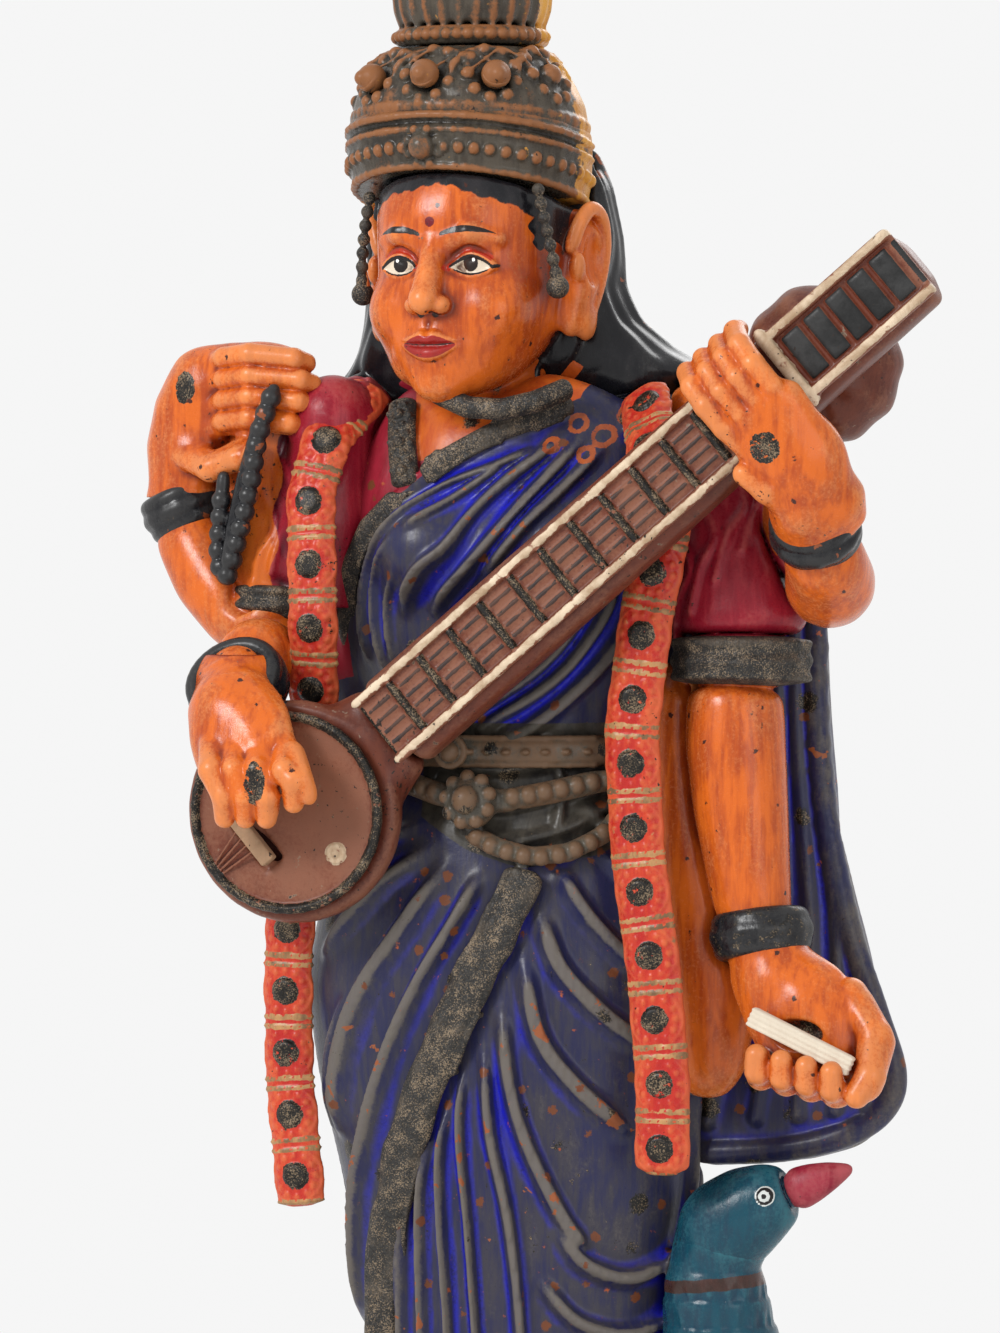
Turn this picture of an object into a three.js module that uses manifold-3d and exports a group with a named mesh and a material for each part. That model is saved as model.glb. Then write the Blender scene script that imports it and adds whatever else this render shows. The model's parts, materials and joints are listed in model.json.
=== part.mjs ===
// A painted terracotta statue of a four-armed goddess who plays a long-necked lute, with a bird at her
// feet.
// Millimetres, +Z up. She faces -Y, so her own left side is at +X. The clay figure is hollow: it is pressed
// in a
// front and a back mould, and her head, crown, arms, lute, bird and ornaments are pressed apart and luted
// on.
import * as THREE from 'three';
import { LoftGeometry } from 'three/addons/geometries/LoftGeometry.js';
import { mergeVertices } from 'three/addons/utils/BufferGeometryUtils.js';
import Module from 'manifold-3d';

const wasm = await Module();
wasm.setup();

// Driving dimensions.
const GAP = 0.3; // the least luting joint left between two clay pieces
const SLACK = 0.25; // how far a trimmed surface may be simplified
const SEAT = GAP + 3 * SLACK; // the joint that is cut round a piece
const WALL = 9; // the pressed clay of the two body shells
const PLINTH = { x: 14, halfWidth: 99, halfDepth: 62, corner: 34, step: 12, height: 30, inset: 6, wall: 12,
  deck: 7 };
const VENT = { halfWidth: 30, halfDepth: 22 };
const SEAM_Y = 3; // where the front and back moulds meet
const CAVITY_TOP = 392;
const HEAD = { x: -11, y: -8, z: 481, yaw: -7 };
const CROWN = { x: -14.5, y: -5, seam: 10 };
const LUTE = { x: -57, y: -62, z: 308, pitch: 40.3, length: 266, bowl: 36, neck: 16 };
const FRETS = { first: 52, spacing: 13, count: 11, width: 1.8, rise: 1.4 };

const PAINT = {
  skin: [0xc9622a, 0.42],
  saree: [0x2a2f6b, 0.55],
  blouse: [0x7d1f38, 0.5],
  black: [0x17181a, 0.35],
  bronze: [0x5b4a3c, 0.6],
  ochre: [0xb5823a, 0.55],
  garland: [0xb8402a, 0.5],
  trim: [0x34302b, 0.8],
  wood: [0x6b3a2c, 0.5],
  leaf: [0xb7ab98, 0.7],
  teal: [0x1d5a66, 0.45],
  crimson: [0x8a2440, 0.5],
  base: [0x6e2f26, 0.6],
};

const v3 = (x, y, z) => new THREE.Vector3(x, y, z);
const degrees = THREE.MathUtils.degToRad;

// ---- Solids: closed meshes in and out of manifold-3d.

function welded(geometry) {
  if (geometry.index && !geometry.attributes.normal) return geometry.clone();
  const bare = geometry.index ? geometry.toNonIndexed() : geometry;
  return mergeVertices(new THREE.BufferGeometry().setAttribute('position', bare.getAttribute('position')),
    1e-3);
}

function solidOf(geometry) {
  const mesh = welded(geometry);
  const vertProperties = mesh.attributes.position.array;
  return new wasm.Manifold(new wasm.Mesh({ numProp: 3, vertProperties,
        triVerts: new Uint32Array(mesh.index.array) }));
}

function geometryOf(solid) {
  const { vertProperties, triVerts } = solid.getMesh();
  return new THREE.BufferGeometry()
    .setAttribute('position', new THREE.BufferAttribute(vertProperties, 3))
    .setIndex(new THREE.BufferAttribute(triVerts, 1));
}

const join = (...shapes) => geometryOf(shapes.map(solidOf).reduce((whole, piece) => whole.add(piece)));
const cut = (shape, ...tools) => geometryOf(tools.map(solidOf).reduce((left, tool) => left.subtract(tool),
    solidOf(shape)));
const common = (a, b) => geometryOf(solidOf(a).intersect(solidOf(b)));
const largest = (solid) => solid.decompose().sort((a, b) => b.volume() - a.volume())[0];

// The same closed mesh with every face moved out by about the given distance.
function swollen(geometry, distance) {
  const mesh = welded(geometry);
  const position = mesh.attributes.position;
  const corners = mesh.index.array;
  const faces = [];
  const sums = Array.from({ length: position.count }, () => v3(0, 0, 0));
  const triangle = new THREE.Triangle();
  for (let i = 0; i < corners.length; i += 3) {
    triangle.setFromAttributeAndIndices(position, corners[i], corners[i + 1], corners[i + 2]);
    const normal = triangle.getNormal(v3(0, 0, 0));
    faces.push(normal);
    for (let k = 0; k < 3; k++) sums[corners[i + k]].add(normal);
  }
  const least = sums.map(() => 1);
  sums.forEach((sum) => sum.normalize());
  faces.forEach((normal, f) => {
    for (let k = 0; k < 3; k++) {
      const corner = corners[3 * f + k];
      least[corner] = Math.min(least[corner], normal.dot(sums[corner]));
    }
  });
  sums.forEach((out, i) => {
    const reach = distance / Math.max(least[i], 0.4);
    position.setXYZ(i, position.getX(i) + out.x * reach, position.getY(i) + out.y * reach,
      position.getZ(i) + out.z * reach);
  });
  return mesh;
}

// ---- Shapes.

// Points round a superellipse that lies across two directions.
function ring(centre, side, top, halfSide, halfTop, count, power, lift = 0) {
  return Array.from({ length: count }, (_, i) => {
    const angle = (2 * Math.PI * i) / count;
    const [c, s] = [Math.cos(angle),
      Math.sin(angle)].map((value) => Math.sign(value) * Math.abs(value) ** (2 / power));
    const point = centre.clone().addScaledVector(side, c * halfSide).addScaledVector(top, s * halfTop);
    point.z -= lift * s;
    return point;
  });
}

// Rows of numbers joined by one smooth curve: at(t) gives the row at t from 0 to 1.
function smoothRows(rows) {
  const curves = [0, 3].map((first) => {
    const points = rows.map((row) => v3(row[first] ?? 0, row[first + 1] ?? 0, row[first + 2] ?? 0));
    return new THREE.CatmullRomCurve3(points, false, 'catmullrom', 0.5);
  });
  return { place: curves[0], size: curves[1] };
}

// A stack of level rings. Each row is [x, y, z, half width, half depth, lift of the front edge].
function stack(rows, { count = 24, steps = rows.length * 2, power = 2.2 } = {}) {
  const { place, size } = smoothRows(rows);
  const rings = [];
  for (let i = 0; i <= steps; i++) {
    const s = size.getPoint(i / steps);
    rings.push(ring(place.getPoint(i / steps), v3(1, 0, 0), v3(0, 1, 0), s.x, s.y, count, power, s.z));
  }
  return new LoftGeometry(rings, { capStart: true, capEnd: true });
}

// A limb along a curve with rounded ends. Each row is [x, y, z, half width, half thickness]; face is the
// way
// that its flat side looks.
function limb(rows, { face = v3(0, -1, 0), count = 8, steps = rows.length, power = 2, round = 1,
    ends = [60] } = {}) {
  const full = rows.map(([x, y, z, a, b = a]) => [x, y, z, a, b]);
  const { place, size } = smoothRows(full);
  const rings = [];
  const add = (t, back, scale) => {
    const along = place.getTangent(t);
    const side = v3(0, 0, 0).crossVectors(face, along).normalize();
    const top = v3(0, 0, 0).crossVectors(along, side);
    const s = size.getPoint(t);
    const centre = place.getPoint(t).addScaledVector(along, back * Math.min(s.x, s.y) * round);
    rings.push(ring(centre, side, top, s.x * scale, s.y * scale, count, power));
  };
  const turns = ends.map(degrees);
  turns.forEach((a) => add(0, -Math.sin(a), Math.cos(a)));
  for (let i = 0; i <= steps; i++) add(i / steps, 0, 1);
  turns.reverse().forEach((a) => add(1, Math.sin(a), Math.cos(a)));
  return new LoftGeometry(rings, { capStart: true, capEnd: true });
}

function ball(x, y, z, a, b = a, c = a, detail = 12) {
  return new THREE.SphereGeometry(1, detail, Math.round(detail * 0.7)).scale(a, b, c).translate(x, y, z);
}

function block(x0, x1, y0, y1, z0, z1) {
  return new THREE.BoxGeometry(x1 - x0, y1 - y0, z1 - z0).translate((x0 + x1) / 2, (y0 + y1) / 2,
    (z0 + z1) / 2);
}

function bangle(radius, wire, count = 14) {
  return new THREE.TorusGeometry(radius, wire, 5, count);
}

// ---- Her body, which the ornaments are laid on.

const BODY = [
  [0, 2, 31, 52, 42],
  [0, 2, 60, 49, 38],
  [0, 1, 100, 48, 36],
  [0, 1, 140, 52, 37],
  [0, 0, 180, 58, 39],
  [-4, 0, 220, 64, 41],
  [-6, 0, 255, 66, 43],
  [-4, 0, 290, 58, 42],
  [0, 0, 314, 46, 38],
  [-1, 0, 334, 44, 36],
  [-4, 0, 358, 54, 37],
  [-3, 0, 390, 59, 38],
  [0, 0, 416, 57, 34],
  [-1, 0, 432, 52, 28],
  [-3, -1, 444, 36, 22],
  [-6, -2, 452, 20, 16],
];
const BODY_POWER = 2.2;
const BUST = [-21, 22].map((x) => [x, -24, 391, 21, 22, 20]);

// The point on the front of her body at that x and z, moved out by lift.
function onBody(x, z, lift) {
  const above = BODY.findIndex((row) => row[2] > z);
  const [low, high] = [BODY[above - 1], BODY[above]];
  const t = (z - low[2]) / (high[2] - low[2]);
  const [cx, cy, , a, b] = low.map((value, i) => THREE.MathUtils.lerp(value, high[i], t));
  const across = Math.min(Math.abs((x - cx) / a), 0.97);
  let y = cy - b * (1 - across ** BODY_POWER) ** (1 / BODY_POWER);
  for (const [bx, by, bz, p, q, r] of BUST) {
    const inside = 1 - ((x - bx) / p) ** 2 - ((z - bz) / r) ** 2;
    if (inside > 0) y = Math.min(y, by - q * Math.sqrt(inside));
  }
  return [x, y - lift, z];
}

// A flat band laid on her body through points [x, z] or [x, z, y].
function band(points, half, thick, lift = 0, options = {}) {
  const rows = points.map(([x, z, y]) => [...(y === undefined ? onBody(x, z, lift) : [x, y, z]), half,
      thick]);
  return limb(rows, { count: 6, round: 0.6, ...options });
}

// ---- The scene: pieces that come first keep their shape, and later ones are cut to fit round them.

const statue = new THREE.Group();

// Pieces out of one mould are already parted by a plane, so they aren't cut to fit each other.
function piece(parent, name, paint, geometry, mould = name) {
  const [color, roughness] = PAINT[paint];
  const mesh = new THREE.Mesh(geometry, new THREE.MeshStandardMaterial({ color, roughness, metalness: 0 }));
  mesh.name = name;
  mesh.userData.mould = mould;
  parent.add(mesh);
  return mesh;
}

function addPlinth() {
  const outline = (inset) => {
    const { halfWidth, halfDepth, corner } = PLINTH;
    const [w, d, r] = [halfWidth - inset, halfDepth - inset, corner - inset];
    const shape = new THREE.Shape();
    shape.moveTo(w - r, -d);
    shape.absarc(w - r, r - d, r, -Math.PI / 2, 0);
    shape.absarc(w - r, d - r, r, 0, Math.PI / 2);
    shape.absarc(r - w, d - r, r, Math.PI / 2, Math.PI);
    shape.absarc(r - w, r - d, r, Math.PI, 1.5 * Math.PI);
    return shape;
  };
  const slab = (inset, z0, z1) =>
    new THREE.ExtrudeGeometry(outline(inset), { depth: z1 - z0, bevelEnabled: false,
        curveSegments: 5 }).translate(0, 0, z0);
  const body = join(slab(0, 0, PLINTH.step), slab(PLINTH.inset, PLINTH.step - 1, PLINTH.height));
  const hollow = slab(PLINTH.wall, -1, PLINTH.height - PLINTH.deck);
  const vent = new THREE.CylinderGeometry(1, 1, PLINTH.height * 2, 14);
  vent.rotateX(Math.PI / 2).scale(VENT.halfWidth, VENT.halfDepth, 1).translate(-PLINTH.x, 0, PLINTH.height);
  piece(statue, 'plinth', 'base', cut(body, hollow, vent).translate(PLINTH.x, 0, 0));
}

function addOrnaments() {
  const right = [
    [-48, 442],
    [-56, 424, -32],
    [-59, 405, -36],
    [-57, 385, -39],
    [-57, 358, -39],
    [-61, 320, -28],
    [-68, 285, -26],
    [-70, 262, -26],
    [-70, 225, -26],
    [-65, 181, -28],
  ];
  const left = [
    [44, 440],
    [55, 420, -33],
    [60, 392, -37],
    [51, 358, -40],
    [50, 310, -40],
    [56, 270, -41],
    [60, 228, -41],
    [60, 197, -41],
  ];
  piece(statue, 'garland_right', 'garland', band(right, 9, 3.5, 2));
  piece(statue, 'garland_left', 'garland', band(left, 10, 3.5, 2));
  piece(statue, 'choker', 'trim', band([[-23, 446, -31], [-13, 439, -37], [0, 435, -38], [14, 437, -36],
        [25, 442, -29]], 4, 3));
  piece(statue, 'pendant', 'trim', band([[-33, 438], [-31, 425], [-28, 412]], 5.5, 2.5, 1));
  const chest = [[24, 437], [10, 431], [-4, 426], [-20, 416], [-37, 403], [-48, 388], [-52, 370],
    [-50, 350]];
  piece(statue, 'saree_border_chest', 'trim', band(chest, 4, 2.2, 0.6));
  const buckle = ball(...onBody(-10, 327, 3), 5.5, 4, 5.5, 10);
  const waist = [[-32, 327], [-16, 327], [0, 327], [16, 327], [32, 327], [40, 327]];
  piece(statue, 'waist_belt', 'trim', join(band(waist, 5.2, 3, 1), buckle));
  const hip = [[-28, 317], [-14, 313], [0, 311], [16, 313], [32, 317], [42, 319]];
  const knot = ball(...onBody(-3, 311, 4), 9, 6, 9, 12);
  piece(statue, 'hip_belt', 'trim', join(band(hip, 4.4, 3.4, 1), knot));
  const swag = [[-4, 302], [8, 296], [22, 294], [35, 299], [42, 308]];
  piece(statue, 'belt_swag', 'trim', band(swag, 3.8, 3, 1));
  const skirt = [[15, 289], [5, 266], [-8, 243], [-21, 214], [-33, 181], [-38, 140], [-40, 95], [-41, 45]];
  piece(statue, 'saree_border_skirt', 'trim', band(skirt, 7.6, 3, 0.8));
}

function addLute() {
  const group = new THREE.Group();
  const pitch = degrees(LUTE.pitch);
  const along = v3(Math.cos(pitch), 0, Math.sin(pitch));
  const across = v3(-Math.sin(pitch), 0, Math.cos(pitch));
  group.quaternion.setFromRotationMatrix(new THREE.Matrix4().makeBasis(along, across, v3(0, -1, 0)));
  group.position.set(LUTE.x, LUTE.y, LUTE.z);
  statue.add(group);
  const outward = { face: v3(0, 0, 1) };
  const { bowl, neck, length } = LUTE;
  piece(group, 'veena_bridge', 'leaf', block(-16, -11, -9, 9, 2.6, 7));
  const lathe = (points, count = 24) => new THREE.LatheGeometry(points.map(([x, y]) => new THREE.Vector2(x,
        y)), count).rotateX(Math.PI / 2);
  const face = lathe([[0, 0], [bowl - 4.5, 0], [bowl - 4, 1], [bowl - 4, 3], [bowl - 6, 3],
      [bowl - 6.5, 2.3], [0, 2.3]]);
  piece(group, 'veena_soundboard', 'wood', face);
  const plate = block(40, 186, -10.5, 10.5, 0.3, 2.4);
  const frets = Array.from({ length: FRETS.count }, (_, i) => {
    const x = FRETS.first + i * FRETS.spacing;
    return block(x, x + FRETS.width, -8.6, 8.6, 2, 2.4 + FRETS.rise);
  });
  const rails = [-1, 1].map((side) => block(40, 186, side * 11 - 1.5, side * 11 + 1.5, 0.3, 4));
  piece(group, 'veena_fretboard', 'wood', join(plate, ...frets, ...rails));
  const rim = [-1, 1].map((side) => block(215, length, side * 11 - 1.6, side * 11 + 1.6, 0.3, 4.4));
  const nut = block(213, 217, -14, 14, 0.3, 6);
  const tiles = Array.from({ length: 5 }, (_, i) => block(219 + i * 9, 226 + i * 9, -8, 8, 2, 4));
  piece(group, 'veena_headstock', 'wood', join(block(214, length, -10.5, 10.5, 0.3, 2.6), nut, ...rim,
      ...tiles));
  const shaft = limb([[44, 0, -9, neck, 9], [120, 0, -9, neck, 9], [200, 0, -9, neck - 1, 9],
      [length - 3, 0, -9, neck - 2, 9]], {
    ...outward, count: 16, steps: 4, power: 3.4, round: 0.35,
  });
  const top = block(30, length + 8, -30, 30, 0, 30);
  piece(group, 'veena_neck', 'wood', cut(shaft, top));
  const back = lathe([[0, -30], [12, -29.5], [22, -26], [30, -19], [bowl - 0.5, -9], [bowl, -4],
      [bowl - 1.5, -0.3], [0, -0.3]]);
  const shoulder = limb([[16, 0, -14, 22, 12], [34, 0, -12, 19, 10], [48, 0, -10, 14, 8]],
    { ...outward, power: 2.6 });
  piece(group, 'veena_bowl', 'wood', cut(join(back, shoulder), block(0, 80, -40, 40, -0.3, 20)));
  piece(group, 'veena_gourd', 'wood', ball(217, 1, -36, 25.5, 25.5, 20, 16));
  return group;
}

function addFrettingHand(group) {
  const outward = { face: v3(0, 0, 1) };
  const palm = limb([[198, -42, -2, 11.5, 10], [199, -31, 6, 13, 9], [201, -18, 12, 15, 8],
      [203, -5, 15, 15, 7]], { ...outward, count: 10 });
  const fingers = [191, 197.5, 204, 210.5].map((x) =>
    limb([[x, -8, 15, 3.9], [x, 5, 18, 3.9], [x, 15, 13, 3.8], [x, 19, 2, 3.5]],
      { face: v3(1, 0, 0), count: 6 }),
  );
  piece(group, 'hand_on_neck', 'skin', join(palm, ...fingers));
}

function addRightHands() {
  const mala = [[-74, -34, 439, 3.6], [-79, -35, 424, 4], [-85, -33, 404, 4.2], [-88, -34, 386, 4]];
  piece(statue, 'mala_string', 'black', limb(mala, { count: 6 }));
  const raised = limb([[-112, -12, 412, 11, 9], [-110, -14, 426, 14, 9], [-103, -17, 441, 14, 8.5],
      [-94, -19, 449, 10, 7]]);
  const tips = [-63, -61, -63, -66];
  const curled = tips.map((tip, i) => {
    const z = 452 - 7 * i;
    return limb([[-98, -22, z - 1, 3.6], [-84, -28, z + 1, 3.7], [tip - 4, -28, z - 1, 3.5],
        [tip, -24, z - 2, 3]], { face: v3(0, 0, 1), count: 6, steps: 2 });
  });
  const thumb = limb([[-108, -20, 424, 4.4], [-95, -27, 419, 4.2], [-84, -28, 424, 3.8]],
    { face: v3(0, 0, 1), count: 6, steps: 2 });
  piece(statue, 'hand_mala', 'skin', join(raised, ...curled, thumb));
  const palm = limb([[-77, -62, 344, 14.5, 10], [-71, -69, 334, 18.5, 9.5], [-64, -76, 324, 17.5, 8]],
    { count: 10 });
  const plucking = [[-77, -70], [-69, -63], [-60, -56], [-50, -43]].map(([from, to], i) =>
    limb([[from, -78, 328, 4.6], [(from + to) / 2 + 2, -84, 319, 4.4], [to, -82, 309 + (i === 3 ? 5 : 0),
          3.8]], { face: v3(1, 0, 0), count: 6, steps: 2 }),
  );
  piece(statue, 'hand_strumming', 'skin', join(palm, ...plucking));
}

function addScrollHand() {
  const book = block(-18, 18, -2, 2, -3.4, 3.4).rotateY(degrees(25)).translate(106, -45, 238.5);
  piece(statue, 'palm_leaf_book', 'leaf', book);
  const palm = limb([[88, -22, 261, 13, 11], [96, -27, 252, 17, 11], [106, -30, 242, 20, 11],
      [112, -30, 232, 17, 10]], { count: 10 });
  const fingers = [92, 100.5, 109, 117.5].map((x, i) => {
    const z = 228 - i * 1.6;
    return limb([[x, -30, z + 4, 4.8], [x, -41, z - 2, 4.8], [x, -47, z + 4, 4.4]],
      { face: v3(1, 0, 0), count: 6, steps: 2 });
  });
  const thumb = limb([[120, -30, 250, 6], [129, -34, 238, 5.6], [127, -42, 224, 5]],
    { face: v3(1, 0, 0), count: 6, steps: 2 });
  piece(statue, 'hand_scroll', 'skin', join(palm, ...fingers, thumb));
}

function addArms() {
  const tilted = (name, x, y, z, radius, wire, turnX, turnY, flat = 1) => {
    const mesh = piece(statue, name, 'black', bangle(radius, wire).scale(1, flat, 2.2));
    mesh.position.set(x, y, z);
    mesh.rotation.set(degrees(turnX), degrees(turnY), 0);
  };
  tilted('bangle_rear_right', -111, -12, 404, 13, 1.8, 5, -25, 0.95);
  tilted('bangle_front_right', -77, -54, 347, 15, 2, 62, 0);
  tilted('bangle_rear_left', 113, -54, 398, 13.2, 1.9, 55, 0);
  tilted('bangle_front_left', 87, -22, 270, 15, 2.4, -8, -8, 0.88);
  piece(statue, 'sleeve_trim_right', 'trim',
    limb([[-75, -17, 377, 16.6, 15.6], [-76, -18, 369, 16.6, 15.6]], { count: 14, steps: 2, round: 0.15 }));
  piece(statue, 'sleeve_trim_left', 'trim', limb([[79, -17, 362, 23, 18.5], [79, -18, 350, 23, 18.5]],
      { count: 14, steps: 2, round: 0.15 }));
  const rear = [[-78, -22, 366, 13.5, 13], [-92, -19, 373, 14, 13], [-104, -15, 388, 13.5, 13],
    [-111, -12, 402, 11.8, 11.5], [-112, -12, 410, 11.5, 10]];
  piece(statue, 'forearm_rear_right', 'skin', limb(rear, { count: 10 }));
  piece(statue, 'forearm_front_right', 'skin',
    limb([[-76, -26, 360, 14], [-77, -42, 354, 13.5], [-77, -56, 346, 12.8]],
      { face: v3(0, 0, 1), count: 10 }));
  piece(statue, 'forearm_rear_left', 'skin',
    limb([[110, -25, 380, 15], [113, -38, 383, 14.5], [114, -50, 392, 12.6], [112, -60, 401, 11.6]],
      { face: v3(1, 0, 0), count: 10 }));
  piece(statue, 'arm_rear_left', 'skin', limb([[60, 2, 434, 13], [77, -4, 426, 14], [95, -12, 404, 14],
        [108, -22, 386, 14.5]], { count: 10 }));
  const front = [[77, -18, 347, 16, 15], [78, -20, 325, 16.5, 15.5], [81, -21, 300, 15, 14],
    [84, -22, 280, 12.8, 12], [86, -22, 266, 12.3, 11]];
  piece(statue, 'arm_front_left', 'skin', limb(front, { count: 12 }));
}

function addSleeves() {
  piece(statue, 'sleeve_right', 'blouse', limb([[-56, -3, 434, 15, 14], [-67, -8, 419, 17, 16],
        [-73, -12, 398, 16.5, 15], [-75, -16, 383, 16, 15.2]], { count: 12 }));
  piece(statue, 'sleeve_left', 'blouse', limb([[62, -6, 426, 16, 15], [71, -11, 405, 19, 16],
        [77, -15, 385, 21, 17], [79, -17, 367, 22, 17.5]], { count: 14 }));
}

function addHead() {
  const crown = new THREE.Group();
  crown.position.set(CROWN.x, CROWN.y, 0);
  crown.rotation.z = degrees(HEAD.yaw);
  statue.add(crown);
  const head = new THREE.Group();
  head.position.set(HEAD.x, HEAD.y, HEAD.z);
  head.rotation.z = degrees(HEAD.yaw);
  const layers = {
    crown_band: [[0, 0, 502, 38, 36, 10], [0, 0, 513, 40, 38, 8], [0, 0, 526, 39.6, 38, 5]],
    crown_dome: [[0, 0, 526.4, 38.8, 37.2, 5], [0, 0, 536, 36.6, 35, 3], [0, 0, 545, 30.5, 29, 1.4],
      [0, 0, 551, 25.4, 24, 0.4]],
    crown_ring: [[0, 0, 551.9, 23.8, 22.8], [0, 0, 555, 25, 24], [0, 0, 558, 23.8, 22.8]],
    crown_knob: [[0, 0, 558.4, 23.2, 22.4], [0, 0, 566, 25.4, 24.4], [0, 0, 577, 25, 24],
      [0, 0, 586, 20, 19]],
    crown_finial: [[0, 0, 586.4, 16, 15], [0, 0, 593, 15, 14.4], [0, 0, 598, 7.5, 7], [0, 0, 604, 7, 7],
      [0, 0, 610, 1.5, 1.5]],
  };
  for (const angle of [-36, 0, 36]) {
    const turn = degrees(angle);
    const boss = ball(38 * Math.sin(turn), -36.5 * Math.cos(turn), 539 + 2.6 * Math.cos(turn), 5.6, 5.6,
      5.6, 8);
    piece(crown, `crown_medallion_${angle / 36 + 2}`, 'bronze', boss);
  }
  const behind = block(-60, 60, CROWN.seam, 80, 480, 620);
  const front = block(-60, 60, -80, CROWN.seam - GAP, 480, 620);
  for (const [name, rows] of Object.entries(layers)) {
    const shape = stack(rows, { count: 20, steps: rows.length });
    piece(crown, name, 'bronze', name === 'crown_finial' ? shape : common(shape, front), 'crown');
  }
  const back = [[0, 0, 503, 36, 34], [0, 0, 524, 38, 36], [0, 0, 545, 29, 28], [0, 0, 553, 23, 22],
    [0, 0, 567, 25, 24], [0, 0, 584, 19, 18]];
  piece(crown, 'crown_back', 'ochre', common(stack(back, { count: 18, steps: 9 }), behind), 'crown');
  for (const side of [-1, 1]) {
    const chain = [[side * 29, -20, 26, 3], [side * 32, -19, 12, 3], [side * 34, -17, 0, 3.2],
      [side * 34.5, -15, -8, 4.4]];
    piece(head, `ear_chain_${side < 0 ? 'right' : 'left'}`, 'trim',
      limb(chain, { face: v3(side, 0, 0), count: 6 }));
  }
  const skull = stack([
    [0, -24, -42, 7, 6], [0, -20, -38, 16, 15], [0, -14, -31, 23, 23], [0, -7, -19, 28.5, 31], [0, -2, -4,
      31, 35],
    [0, 0, 12, 32, 37], [0, 1, 27, 32, 36], [0, 2, 40, 29, 32], [0, 3, 50, 18, 21],
  ], { count: 18, steps: 10, power: 2.1 });
  const nose = limb([[0, -36, 6, 3, 3], [0, -40, -4, 4, 4], [0, -42, -11, 5.6, 4.4]], { count: 8 });
  const ears = [-1, 1].map((side) => limb([[side * 32, 4, 16, 6, 4], [side * 36, 4, 6, 8, 4.5],
        [side * 35, 1, -8, 7, 4.5], [side * 33, -2, -20, 5, 4]], { face: v3(side, -0.4, 0), count: 8 }));
  statue.add(head);
  piece(head, 'head', 'skin', join(skull, nose, ...ears));
  piece(statue, 'neck', 'skin', limb([[-7, -2, 434, 22, 17], [-9, -4, 444, 18, 16], [-10, -5, 456, 17, 16],
        [-11, -6, 466, 17, 16]], { count: 14 }));
  const mane = stack([
    [-4, 14, 437, 40, 12], [-1, 12, 441, 66, 16], [-1, 12, 448, 62, 20], [-8, 13, 459, 50, 25], [-12, 13,
      476, 43, 28], [-13, 11, 500, 42, 30],
    [-14, 6, 520, 36, 32],
  ], { count: 20, steps: 9 });
  const fall = limb([[-9, 30, 470, 36, 12], [-6, 33, 430, 34, 10], [-2, 38, 390, 27, 8],
      [0, 38, 356, 17, 6]], { face: v3(0, 1, 0), count: 10, steps: 5 });
  piece(statue, 'hair', 'black', join(mane, fall));
}

function addBird() {
  piece(statue, 'bird_beak', 'crimson', limb([[97, -15, 189, 7.5, 6], [105, -15, 192.5, 6, 5],
        [114, -15, 196, 2.4, 2.2]], { face: v3(0, -1, 0) }));
  piece(statue, 'bird_head', 'teal', limb([[69, -13, 172, 15.5, 14], [77, -14, 179, 16, 14],
        [87, -15, 185, 13, 12], [96, -15, 189, 8.5, 8]], { count: 12 }));
  const train = [[84, 26, 92, 18, 14], [74, 46, 74, 22, 10], [48, 52, 54, 24, 8], [16, 52, 42, 22, 7],
    [-6, 52, 38, 14, 5]];
  piece(statue, 'bird_tail', 'teal', limb(train, { face: v3(0, 1, 0.6), count: 10 }));
  const breast = [[78, 8, 34, 23, 24], [80, 6, 62, 28, 30], [77, 0, 96, 27, 27], [72, -7, 128, 20.5, 19],
    [69, -11, 152, 17, 15.5], [69, -12.5, 168, 15.5, 14.5]];
  piece(statue, 'bird_body', 'teal', stack(breast, { count: 16, steps: 8 }));
}

function addFeet() {
  for (const side of [-1, 1]) {
    const heelToToe = [[side * 20, -26, 41, 10, 9], [side * 22, -42, 38.5, 11.5, 7.5],
      [side * 24, -53, 36.5, 11, 5]];
    const sole = block(-200, 200, -200, 200, 0, PLINTH.height + SEAT);
    piece(statue, side < 0 ? 'foot_right' : 'foot_left', 'skin',
      cut(limb(heelToToe, { face: v3(0, 0, 1), count: 12 }), sole));
  }
}

function addBody() {
  const outer = join(stack(BODY, { count: 20, steps: 18, power: BODY_POWER }),
    ...BUST.map((b) => ball(...b, 10)));
  const inside = BODY.filter((row) => row[2] < CAVITY_TOP).map(([x, y, z, a, b]) => [x, y, z, a - WALL,
      b - WALL, 0]);
  inside[0][2] = 0;
  const hollow = stack(inside, { count: 12, steps: 8, power: BODY_POWER });
  const front = block(-200, 200, -200, SEAM_Y - GAP / 2, PLINTH.height + SEAT, 500);
  const back = block(-200, 200, SEAM_Y + GAP / 2, 200, PLINTH.height + SEAT, 500);
  const drape = stack([
    [56, 14, 195, 38, 8], [62, 14, 202, 53, 11], [65, 14, 218, 60, 13], [65, 14, 245, 53, 12], [63, 14, 277,
      45, 11],
    [61, 14, 310, 40, 10], [59, 14, 365, 39, 10], [59, 13, 402, 33, 9], [50, 12, 437, 16, 7],
  ], { count: 16, power: 2.5, steps: 10 });
  const web = limb([[57, -6, 345, 18, 12], [60, -8, 300, 19, 14], [66, -10, 260, 19, 14],
      [66, -10, 225, 13, 10]], { count: 10 });
  piece(statue, 'arm_web_left', 'skin', common(web, front));
  piece(statue, 'pallu_cape', 'saree', common(drape, back));
  piece(statue, 'body_front_shell', 'saree', common(cut(outer, hollow), front), 'body');
  piece(statue, 'body_back_shell', 'saree', common(cut(outer, hollow), back), 'body');
}

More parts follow.
